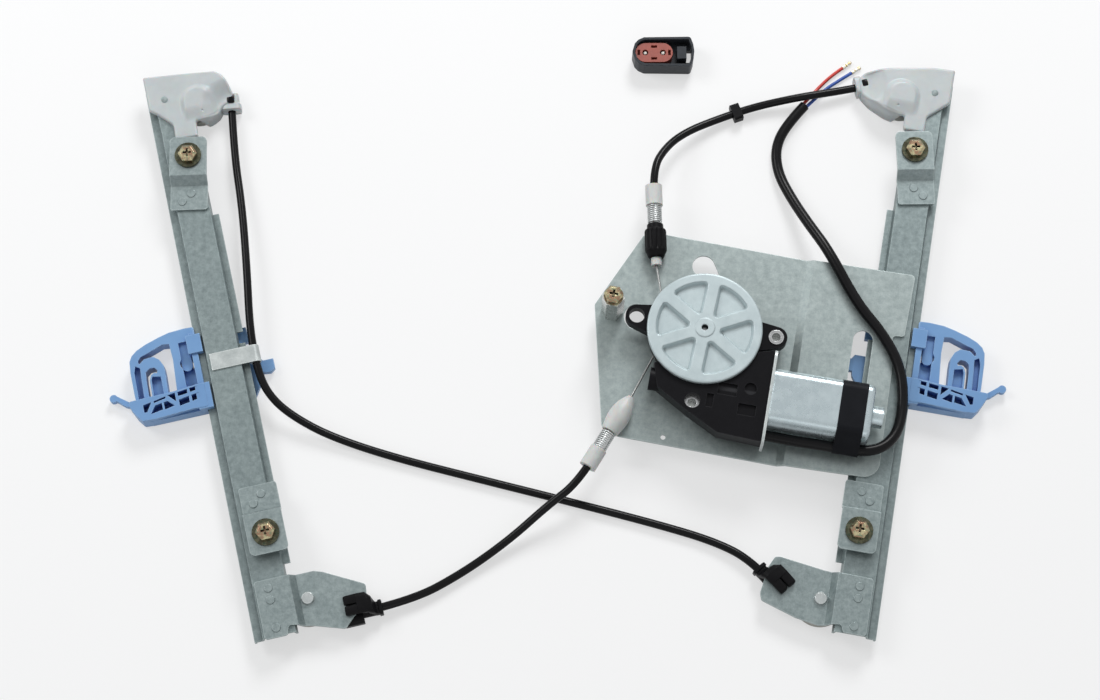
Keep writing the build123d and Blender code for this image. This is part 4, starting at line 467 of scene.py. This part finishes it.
# Cross screws: five screws with a hexagon head, a washer face and a cross recess, in iridescent
# yellow zinc; four stand in the brackets on washers of the same finish, and one on the standoff.
def passivate_finish(name, gold, bronze, green):
    """Yellow passivated zinc: gold with bronze and green patches, and painted shade in the recess.
    """
    skin = Finish(name, metallic=0.9)
    turn = skin.noise(260.0, 3.0)
    patch = skin.noise(650.0, 4.0)
    tint = skin.mix(skin.ramp(turn, 0.38, 0.6), gold, bronze)
    tint = skin.mix(skin.ramp(patch, 0.5, 0.66), tint, green)
    # The recess is painted darker as shade.
    skin.set(
        base_color=skin.mix(skin.hollow(0.003, 0.3, 0.85), (0.02, 0.015, 0.008, 1), tint),
        roughness=patch * 0.2 + 0.16,
        normal=skin.bump(patch, 0.00003, 0.0005),
    )
    return skin


screw_finish = passivate_finish(
    "screw_passivate", (0.46, 0.41, 0.25, 1), (0.28, 0.17, 0.11, 1), (0.2, 0.24, 0.15, 1)
)
washer_finish = passivate_finish(
    "washer_passivate", (0.1, 0.1, 0.065, 1), (0.05, 0.047, 0.03, 1), (0.045, 0.06, 0.04, 1)
)
paint(screw_finish, "cross_screws")
paint(washer_finish, "rail_washers")

# Pulleys and their pins: moulded pulleys turn on steel pins riveted through the end plates
# and under the nylon housings, so only the pins' heads are seen.
pulley_plastic = Finish("pulley_plastic", metallic=0.0)
pulley_film = pulley_plastic.noise(120.0, 3.0)
pulley_plastic.set(
    base_color=pulley_plastic.mix(pulley_film, (0.42, 0.42, 0.39, 1), (0.58, 0.58, 0.54, 1)),
    roughness=pulley_film * 0.2 + 0.35,
)
paint(
    pulley_plastic,
    "top_pulley_left", "top_pulley_right", "bottom_pulley_left", "bottom_pulley_right",
)
pin_zinc = zinc_finish(
    "pin_zinc", (0.3, 0.33, 0.33, 1), (0.55, 0.58, 0.58, 1),
    grain=140.0, spangle=300.0, metal=0.6, rough=0.32,
)
paint(pin_zinc, "pulley_pins")

# Pulley housings: milky nylon mouldings that wall the pulleys in, each riveted to the top of its
# rail. They have a soft dome over the pulley, a strap round the conduit's end and a small window
# behind the strap that shows the black conduit.
rail_feet = {1: (-0.2197, -0.2345, 13.2), -1: (0.2257, -0.2327, -10.2)}


def rail_point(side, across, along, level):
    """A point measured in from a rail's outer edge and up from its foot: the two lengths are
    turned by the rail's lean, and the foot's place is added."""
    foot_x, foot_y, lean = rail_feet[side]
    turn = np.radians(lean)
    return np.stack(np.broadcast_arrays(
        foot_x + side * across * np.cos(turn) - along * np.sin(turn),
        foot_y + side * across * np.sin(turn) + along * np.cos(turn),
        level,
    ), axis=-1)


def rail_way(side, turn):
    """The level direction that points inward from a rail, turned from square to it."""
    lean = np.radians(rail_feet[side][2] + side * turn)
    return (side * np.cos(lean), side * np.sin(lean), 0.0)


def smooth(value, low, high):
    """0 up to low, 1 from high on, and an even curve between them."""
    share = np.clip((value - low) / (high - low), 0.0, 1.0)
    return share * share * (3 - 2 * share)


housing_top, housing_skin, housing_rim = 0.0204, 0.0021, 0.0018
housing_foot, housing_on_rail, housing_slope = 0.0012, 0.0177, 0.007
housing_lip, housing_lip_inside = 0.0004, 0.0003
housing_along, rail_inner = 0.391, 0.0366
pulley_across, pulley_along = 0.0385, 0.4215
dome_radius, dome_rise = 0.0135, 0.0026
dome_side, dome_fade = (-0.001, 0.0045), (-0.016, -0.004)
neck_drop, neck_slope, neck_hollow = 0.0066, (0.008, 0.024), 0.03
gate_spot, gate_depth, gate_side = (0.002, -0.009), 0.0007, (0.0003, 0.0011)
housing_heart = (0.025, 0.421)
housings = {
    "pulley_housing_left": (1, (0.06195, 0.4126), -98.3, (
        (0.7, 59.4), (28, 56.3), (55.5, 52.6), (60.5, 48.5), (63.3, 43.2), (66.2, 32), (63, 26.5),
        (56.5, 25), (51.8, 19), (46.2, 16), (38.5, 14.4), (34.2, 14.8), (33.6, 1.5), (16.1, 2.4),
        (16.5, 15), (7, 25.5), (0.7, 30.6),
    )),
    "pulley_housing_right": (-1, (0.0742, 0.4276), -22.0, (
        (0.7, 59.1), (17.5, 58.5), (51.1, 52.5), (68.6, 47.6), (73, 42.5), (69.3, 30), (61.6, 23.4),
        (49, 17), (38.5, 14.4), (34.3, 14.8), (33.95, 2.7), (17.5, 2.7), (17.2, 16.2), (1.4, 30.6),
    )),
}


def housing_piece(name, side, neck, corners):
    """The outline, rounded by averaging, gives the walls. The top is the outline drawn in towards
    the heart. Its height is level, less a smooth slope down to the conduit's neck and a small gate
    mark, plus a dome: an even rise within a circle round the pulley that fades out below it."""
    corner = np.array(corners + corners[:1]) / 1000.0
    reach = np.append(0.0, np.cumsum(np.hypot(*np.diff(corner, axis=0).T)))
    walk = np.linspace(0.0, reach[-1], 480, endpoint=False)
    edge = np.stack([np.interp(walk, reach, corner[:, axis]) for axis in (0, 1)], axis=-1)
    edge = sum(np.roll(edge, step, axis=0) for step in range(-4, 5)) / 9.0
    edge[:, 1] += housing_along
    ahead = np.roll(edge, -1, axis=0) - np.roll(edge, 1, axis=0)
    inward = np.stack([ahead[:, 1], -ahead[:, 0]], axis=-1) / np.hypot(*ahead.T)[:, None]
    inward = sum(np.roll(inward, step, axis=0) for step in range(-5, 6)) / 11.0
    heart = np.array(housing_heart)

    def top(spot):
        from_neck = np.hypot(spot[..., 0] - neck[0], spot[..., 1] - neck[1])
        across, along = spot[..., 0] - pulley_across, spot[..., 1] - pulley_along
        arch = np.hypot(across, np.maximum(along, 0.0))
        dome = smooth(dome_radius - arch, *dome_side) * smooth(along, *dome_fade)
        from_gate = np.hypot(across - gate_spot[0], along - gate_spot[1])
        return (
            housing_top - neck_drop * (1 - smooth(from_neck, *neck_slope))
            + dome_rise * dome - gate_depth * (1 - smooth(from_gate, *gate_side))
        )

    past_rail = smooth(edge[:, 0], rail_inner, rail_inner + housing_slope)
    foot = housing_on_rail - (housing_on_rail - housing_foot) * past_rail
    turn = np.linspace(0.0, np.pi / 2, 7)[:, None, None]
    shoulder = edge + inward * housing_rim * (1 - np.cos(turn))
    rise = top(edge) - housing_rim * (1 - np.sin(turn[..., 0]))
    rise = np.maximum(rise, foot + housing_lip * (1 + np.sin(turn[..., 0])))
    share = np.linspace(1.0, 0.002, 70)[1:, None, None]
    lid = heart + (shoulder[-1] - heart) * share
    inner_edge = edge + inward * housing_skin
    inner_lid = heart + (inner_edge - heart) * share[::-1]
    spots = np.concatenate([
        inner_lid, inner_edge[None], inner_edge[None], edge[None], shoulder, lid,
    ])
    levels = np.concatenate([
        np.maximum(top(inner_lid) - housing_skin, housing_on_rail),
        np.maximum(top(inner_edge) - housing_skin, foot + housing_lip_inside)[None],
        foot[None], foot[None], rise, top(lid),
    ])
    near_neck = np.hypot(inner_lid[..., 0] - neck[0], inner_lid[..., 1] - neck[1]) < neck_hollow
    rows = len(inner_lid)
    levels[:rows] = np.where(near_neck, top(inner_lid) - housing_skin, levels[:rows])
    points = rail_point(side, spots[..., 0], spots[..., 1], levels)
    return grid_piece(name, points[:, :: -side], capped=True)


nylon = Finish("nylon_white", metallic=0.0, subsurface_weight=0.3, subsurface_scale=0.004)
nylon_cloud = nylon.noise(55.0, 4.0)
nylon_flow = nylon.noise(210.0, 4.0)
nylon_tone = nylon.mix(
    nylon_cloud * 0.6 + nylon_flow * 0.4, (0.42, 0.46, 0.47, 1), (0.56, 0.6, 0.61, 1)
)
# Hollows are painted darker grey as shade.
nylon.set(
    base_color=nylon.mix(nylon.hollow(0.008, 0.1, 0.75), (0.24, 0.27, 0.28, 1), nylon_tone),
    roughness=nylon_flow * 0.2 + 0.3,
    normal=nylon.bump(nylon_cloud * 2.0 + nylon_flow * 0.3, 0.00012),
)
strap_stations = (
    (-0.013, 0.0058, 0.0056), (-0.0052, 0.006, 0.0058), (-0.0047, 0.0073, 0.0061),
    (-0.0043, 0.0076, 0.0063), (-0.0004, 0.0076, 0.0063), (0.0, 0.0072, 0.0059),
)
window_stations = (
    (0.0, 0.0034, 0.0029), (0.0064, 0.0034, 0.0029), (0.0066, 0.0032, 0.0027),
)
rivet_stations = (
    (0.0, 0.0026, 0.0026), (0.0004, 0.0026, 0.0026), (0.0007, 0.0022, 0.0022),
    (0.0008, 0.0018, 0.0018), (0.0004, 0.0014, 0.0014), (0.0003, 0.0002, 0.0002),
)
rivet_place = (0.014, 0.428, 0.0203)
neck_level = 0.00655
window_back, window_lift = 0.0082, 0.0008
for housing_name, (side, neck, exit_turn, corners) in housings.items():
    housing = housing_piece(housing_name + "_moulding", side, neck, corners)
    way = rail_way(side, exit_turn)
    neck_point = rail_point(side, neck[0], neck[1], neck_level)
    level_side = (way[1], -way[0], 0.0)
    strap = ring_run(
        housing_name + "_strap", neck_point, way, level_side, strap_stations, power=7.0
    )
    window_point = neck_point - np.array(way) * window_back + np.array((0.0, 0.0, window_lift))
    window = ring_run(
        housing_name + "_window", window_point, (0, 0, 1), way, window_stations, power=8.0
    )
    rivet = ring_run(
        housing_name + "_rivet", rail_point(side, *rivet_place), (0, 0, 1), way, rivet_stations,
        power=2.0,
    )
    paint(nylon, housing, strap)
    paint(conduit_finish, window)
    paint(bracket_zinc, rivet)
    for piece, look in ((housing, "nylon"), (strap, "nylon"), (window, "conduit"), (rivet, "zinc")):
        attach(piece, "base")
    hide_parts(housing_name)

# Rail and drum cables: bare zinc-coated steel strand, greased; the lay of the strand shows
# as fine slanting bands.
strand = Finish("cable_strand", metallic=0.8)
strand_wave = strand.node(
    "ShaderNodeTexWave",
    {"wave_type": "BANDS", "bands_direction": "DIAGONAL"},
    {"Vector": strand.spot, "Scale": 520.0, "Distortion": 0.4},
)
strand.set(
    base_color=strand.mix(strand_wave, (0.12, 0.125, 0.125, 1), (0.42, 0.43, 0.42, 1)),
    roughness=strand_wave * 0.15 + 0.3,
    normal=strand.bump(strand_wave, 0.00008),
)
paint(strand, "rail_cables", "drum_cables", "cable_nipples_left", "cable_nipples_right")

# Sliders: cornflower-blue acetal mouldings that clip round the rail's flange and hold the glass.
# They have a fine satin skin, greasy in patches, with painted shade in the deep pockets and a
# painted highlight along outer edges.
acetal = Finish("slider_blue", metallic=0.0)
acetal_cloud = acetal.noise(40.0, 4.0)
acetal_skin = acetal.noise(1100.0, 2.0)
acetal_grease = acetal.ramp(acetal.noise(90.0, 5.0, 0.65), 0.6, 0.75)
acetal_tone_and_highlight = acetal.mix(acetal_cloud, (0.115, 0.25, 0.5, 1), (0.19, 0.37, 0.64, 1))
# Outer edges are painted lighter as a highlight.
acetal_tone_and_highlight = acetal.mix(acetal.rim(0.0011) * 0.8, acetal_tone_and_highlight, (0.34, 0.53, 0.78, 1))
# Deep pockets are painted darker blue as shade.
acetal.set(
    base_color=acetal.mix(acetal.hollow(0.006, 0.1, 0.8), (0.025, 0.07, 0.33, 1), acetal_tone_and_highlight),
    roughness=0.42 - acetal_grease * 0.14 + acetal_skin * 0.06,
    normal=acetal.bump(acetal_skin * 0.4 + acetal_cloud, 0.00005, 0.0007),
)
paint(acetal, "slider_left", "slider_right")

# Cable clip: a strap of thin zinc-plated strip, spot-welded across the left rail's web. Its free
# end is curled round the crossing conduit.
clip_zinc = zinc_finish(
    "clip_zinc", (0.3, 0.335, 0.335, 1), (0.55, 0.585, 0.58, 1), grain=120.0, spangle=300.0
)
paint(clip_zinc, "cable_clip")

# Conduit ends and tie: black nylon fittings on the ends of two conduits, each with a cap and two
# tongues that snap into its end plate's slot, and the small black clip on the upper conduit.
fitting_black = Finish("fitting_black", metallic=0.0, specular_ior_level=0.08)
fitting_film = fitting_black.noise(150.0, 4.0)
# Outer edges are painted lighter as a highlight.
fitting_black.set(
    base_color=fitting_black.mix(
        fitting_black.rim(0.0007) * 0.6,
        fitting_black.mix(fitting_film, (0.002, 0.002, 0.0025, 1), (0.008, 0.008, 0.009, 1)),
        (0.04, 0.04, 0.043, 1),
    ),
    roughness=fitting_film * 0.25 + 0.25,
    normal=fitting_black.bump(fitting_film, 0.0001, 0.0006),
)
paint(fitting_black, "conduit_ends", "conduit_tie")
fitting_seats = {
    "fitting_left": ((-0.143115, -0.210683, 0.0), (0.973579, 0.228351, 0.0), -1),
    "fitting_right": ((0.152557, -0.189086, 0.0), (-0.656059, 0.75471, 0.0), 1),
}
tongue_stations = (
    (-0.0122, 0.0022, 0.0008, 0.0, 0.0142), (-0.0118, 0.0031, 0.0019, 0.0, 0.0152),
    (-0.0105, 0.0034, 0.0024, 0.0, 0.0157), (-0.002, 0.0036, 0.0026, 0.0, 0.0158),
)
body_stations = (
    (-0.0031, 0.0069, 0.0024, 0.0046, 0.0157), (-0.0026, 0.0074, 0.0028, 0.0046, 0.016),
    (0.0042, 0.0075, 0.0028, 0.0042, 0.016), (0.0052, 0.0073, 0.0079, 0.0036, 0.0108),
    (0.0076, 0.0066, 0.0072, 0.0022, 0.0096), (0.0091, 0.0054, 0.0055, 0.0007, 0.0069),
    (0.0101, 0.0047, 0.0047, 0.0, 0.0061), (0.0116, 0.0047, 0.0047, 0.0, 0.0061),
    (0.0119, 0.0056, 0.0056, 0.0, 0.0061), (0.0141, 0.0056, 0.0056, 0.0, 0.0061),
    (0.0145, 0.005, 0.005, 0.0, 0.0061),
)
tongue_places = (("inner", 0.0008), ("outer", 0.0084))
for fitting_name, (seat, way, hand) in fitting_seats.items():
    level_side = (way[1], -way[0], 0.0)
    shifted = [
        (ahead, wide, high, hand * shift, lift) for ahead, wide, high, shift, lift in body_stations
    ]
    body = ring_run(fitting_name + "_body", seat, way, level_side, shifted, power=5.0)
    tongues = [
        ring_run(
            fitting_name + "_tongue_" + end,
            np.array(seat) + np.array(level_side) * hand * reach,
            way, level_side, tongue_stations, power=5.0,
        )
        for end, reach in tongue_places
    ]
    for piece in (body, *tongues):
        paint(fitting_black, piece)
        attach(piece, "base")

# Motor plate: one large zinc sheet with pressed steps, spot-welded to the right rail and
# carrying the motor. It shows the broadest clouds and the most scuffs.
plate_zinc = zinc_finish(
    "plate_zinc", (0.21, 0.255, 0.255, 1), (0.39, 0.445, 0.44, 1), grain=190.0, spangle=360.0
)
paint(plate_zinc, "motor_plate")

# Standoff and motor screws: a turned hexagonal post screwed through the plate's left ear, and the
# screws in the gear housing's closed ears. Their zinc is brighter than the sheet's.
post_zinc = zinc_finish(
    "post_zinc", (0.34, 0.36, 0.35, 1), (0.6, 0.62, 0.6, 1),
    grain=200.0, spangle=500.0, metal=0.8, rough=0.28,
)
paint(post_zinc, "standoff", "motor_screws")

# Gear housing: a glass-filled black moulding with ribs and three eared screw bosses. The
# fibres leave it satin, with a fine orange-peel skin.
housing_black = Finish("housing_black", metallic=0.0, specular_ior_level=0.08)
housing_fibre = housing_black.noise(500.0, 4.0, 0.65)
housing_cloud = housing_black.noise(60.0, 3.0)
housing_skin_black = housing_black.mix(
    housing_fibre * 0.5 + housing_cloud * 0.5, (0.002, 0.002, 0.0025, 1), (0.008, 0.008, 0.01, 1)
)
# Outer edges are painted lighter as a highlight.
housing_black.set(
    base_color=housing_black.mix(
        housing_black.rim(0.0009) * 0.8, housing_skin_black, (0.045, 0.046, 0.05, 1)
    ),
    roughness=housing_fibre * 0.22 + 0.3,
    normal=housing_black.bump(housing_fibre, 0.00006, 0.0006),
)
paint(housing_black, "gear_housing", "brush_holder")

# Gear cover: a lid pressed from zinc-plated sheet, with six pockets between its spokes and a
# small hub. Its edge is crimped over the gear housing's round rim.
cover_zinc = zinc_finish(
    "cover_zinc", (0.38, 0.455, 0.475, 1), (0.5, 0.575, 0.59, 1),
    grain=90.0, spangle=240.0, metal=0.35, rough=0.42, edge=0.0012, relief=0.000008,
)
paint(cover_zinc, "gear_cover")

# Inside the gearbox and the motor: an acetal worm wheel and cable drum, turned steel shafts, worm
# and bushes, and the armature's copper. They are laid in before the cover and the can close.
wheel_white = Finish("wheel_acetal", metallic=0.0)
wheel_film = wheel_white.noise(150.0, 3.0)
wheel_white.set(
    base_color=wheel_white.mix(wheel_film, (0.55, 0.53, 0.46, 1), (0.7, 0.68, 0.6, 1)),
    roughness=wheel_film * 0.2 + 0.35,
)
paint(wheel_white, "worm_wheel", "cable_drum")
turned_steel = zinc_finish(
    "turned_steel", (0.22, 0.225, 0.23, 1), (0.45, 0.455, 0.46, 1),
    grain=300.0, spangle=900.0, metal=0.95, rough=0.25,
)
paint(
    turned_steel,
    "output_shaft", "worm", "armature_shaft", "magnets", "yoke_bearing", "motor_bushes",
)
copper_wire = Finish("copper_wire", metallic=0.9)
copper_wave = copper_wire.noise(800.0, 3.0)
copper_wire.set(
    base_color=copper_wire.mix(copper_wave, (0.4, 0.16, 0.08, 1), (0.7, 0.33, 0.18, 1)),
    roughness=copper_wave * 0.2 + 0.25,
)
paint(copper_wire, "armature", "commutator")

# Adjusters: springs over the conduits' ends that take up the cables' slack. The upper one stands
# between a milky nylon ferrule and a ribbed black sleeve, and the lower one between a milky boot
# and a ferrule.
milky = Finish("milky_nylon", metallic=0.0, subsurface_weight=0.3, subsurface_scale=0.003)
milky_cloud = milky.noise(130.0, 4.0)
milky.set(
    base_color=milky.mix(milky_cloud, (0.48, 0.5, 0.49, 1), (0.66, 0.68, 0.67, 1)),
    roughness=milky_cloud * 0.2 + 0.35,
    normal=milky.bump(milky_cloud, 0.0001, 0.0006),
)
paint(milky, "adjuster_ferrules", "adjuster_boot")


def wire_helix(name, start, way, coil_radius, wire_radius, pitch, turns, sides=10, steps=28):
    """A circle of the wire's radius carried along a helix: round the axis at the coil's radius
    while it climbs one pitch a turn. The last three quarters of a turn at each end lie close."""
    axis = Vector(way).normalized()
    across = axis.orthogonal().normalized()
    third = axis.cross(across)
    turn = np.linspace(0.0, turns, int(turns * steps) + 1)
    close = 0.75
    height = pitch * turns
    lift = np.interp(
        turn,
        [0.0, close, turns - close, turns],
        [wire_radius, 3 * wire_radius, height - 3 * wire_radius, height - wire_radius],
    )
    angle = 2 * np.pi * turn
    frame_x, frame_y, frame_z = (np.array(v) for v in (across, third, axis))
    out = np.cos(angle)[:, None] * frame_x + np.sin(angle)[:, None] * frame_y
    centre = np.array(start) + coil_radius * out + lift[:, None] * frame_z
    ring = np.linspace(2 * np.pi, 0.0, sides, endpoint=False)
    skin = (
        centre[:, None, :]
        + wire_radius * np.cos(ring)[None, :, None] * out[:, None, :]
        + wire_radius * np.sin(ring)[None, :, None] * frame_z[None, None, :]
    )
    return grid_piece(name, skin, capped=True)


def sleeve_piece(name, start, way, outline, ribs, rib_depth, rib_span):
    """A closed outline of radius and height turned about the axis; between the heights of rib_span
    the outer skin sinks by rib_depth in as many smooth grooves as there are ribs."""
    axis = Vector(way).normalized()
    across = axis.orthogonal().normalized()
    third = axis.cross(across)
    radius, height = np.array(outline).T
    corner = np.arange(len(outline) + 1)
    fine = np.linspace(0, len(outline), 12 * len(outline), endpoint=False)
    radius = np.interp(fine, corner, np.append(radius, radius[0]))
    height = np.interp(fine, corner, np.append(height, height[0]))
    angle = np.linspace(0.0, 2 * np.pi, 16 * ribs, endpoint=False)
    groove = np.clip(-1.4 * np.cos(ribs * angle), 0.0, 1.0)
    low, high = rib_span
    edge = (high - low) / 12
    inside = np.clip((height - low) / edge, 0, 1) * np.clip((high - height) / edge, 0, 1)
    outer = radius > 0.8 * radius.max()
    reach = radius[:, None] - rib_depth * groove[None, :] * (inside * outer)[:, None]
    points = (
        np.array(start)
        + reach[..., None] * np.cos(angle)[None, :, None] * np.array(across)
        + reach[..., None] * np.sin(angle)[None, :, None] * np.array(third)
        + height[:, None, None] * np.array(axis)
    )
    return grid_piece(name, points, closed_rows=True)


sleeve_outline = (
    (0.0041, 0.0), (0.0052, 0.0), (0.0062, 0.0012), (0.0071, 0.0036), (0.0079, 0.0052),
    (0.0082, 0.0062), (0.0082, 0.0212), (0.0078, 0.0222), (0.0066, 0.0226), (0.0063, 0.0232),
    (0.0061, 0.0266), (0.0056, 0.027), (0.0041, 0.027), (0.0041, 0.0135),
)
sleeve = sleeve_piece(
    "upper_sleeve", (0.071638, 0.054503, 0.0239), (-0.020942, 0.999781, 0.0),
    sleeve_outline, ribs=14, rib_depth=0.0009, rib_span=(0.0052, 0.0222),
)
paint(fitting_black, sleeve)
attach(sleeve, "base")
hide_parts("adjuster_sleeve")

spring_turns, spring_pitch = 9, 0.0017
spring_radius, spring_wire = 0.00495, 0.0006
spring_seats = {
    "spring_upper": ((0.071764, 0.048504, 0.0239), (-0.020942, 0.999781, 0.0), 0.033),
    "spring_lower": ((0.051585, -0.054044, 0.0239), (-0.519520, -0.854460, 0.0), 0.031),
}
springs = []
for spring_name, (tip, way, reach) in spring_seats.items():
    seat = [a + b * reach for a, b in zip(tip, way)]
    springs.append(
        wire_helix(spring_name, seat, way, spring_radius, spring_wire, spring_pitch, spring_turns)
    )
spring_steel = Finish("spring_steel", metallic=0.9)
spring_film = spring_steel.noise(500.0, 3.0)
spring_steel.set(
    base_color=spring_steel.mix(spring_film, (0.34, 0.36, 0.36, 1), (0.62, 0.64, 0.64, 1)),
    roughness=spring_film * 0.2 + 0.2,
)
for spring in springs:
    paint(spring_steel, spring)
    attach(spring, "base")
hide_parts("adjuster_springs")

# Motor yoke and flange: a deep-drawn steel can with two flats, in bright zinc, that holds the
# magnets, and the flat steel plate by which it is bolted to the gear housing.
yoke_zinc = zinc_finish(
    "yoke_zinc", (0.34, 0.405, 0.43, 1), (0.46, 0.525, 0.545, 1),
    grain=110.0, spangle=320.0, metal=0.75, rough=0.3, edge=0.0018, relief=0.000006,
)
paint(yoke_zinc, "yoke")
paint(clip_zinc, "motor_flange")

# Tape: black cloth tape wound round the yoke and the lead, which keeps the lead on the motor. It
# is matt, with a fine thread.
tape = Finish("cloth_tape", metallic=0.0, specular_ior_level=0.08)
tape_thread = tape.noise(1600.0, 2.0)
tape_cloud = tape.noise(80.0, 3.0)
tape.set(
    base_color=tape.mix(tape_cloud, (0.003, 0.0035, 0.005, 1), (0.01, 0.011, 0.014, 1)),
    roughness=tape_thread * 0.2 + 0.4,
    normal=tape.bump(tape_thread * 0.5 + tape_cloud, 0.00015),
)
paint(tape, "tape_band")

# Connector: a black shell with a lanyard loop, a brick-red insert and two dark contacts.
# It lies loose on the table above the regulator.
shell_black = Finish("shell_black", metallic=0.0, specular_ior_level=0.2)
shell_film = shell_black.noise(260.0, 4.0)
shell_black.set(
    base_color=shell_black.mix(shell_film, (0.009, 0.012, 0.016, 1), (0.03, 0.036, 0.044, 1)),
    roughness=shell_film * 0.25 + 0.28,
    normal=shell_black.bump(shell_film, 0.0001, 0.0005),
)
paint(shell_black, "connector_shell")
brick = Finish("insert_red", metallic=0.0)
brick_film = brick.noise(200.0, 4.0)
brick.set(
    base_color=brick.mix(brick_film, (0.2, 0.035, 0.022, 1), (0.36, 0.075, 0.05, 1)),
    roughness=brick_film * 0.2 + 0.35,
    normal=brick.bump(brick_film, 0.0001, 0.0003),
)
paint(brick, "connector_insert")
contact_grey = zinc_finish(
    "contact_grey", (0.16, 0.15, 0.14, 1), (0.4, 0.38, 0.35, 1),
    grain=500.0, spangle=900.0, metal=0.9, rough=0.3,
)
paint(contact_grey, "connector_pins")
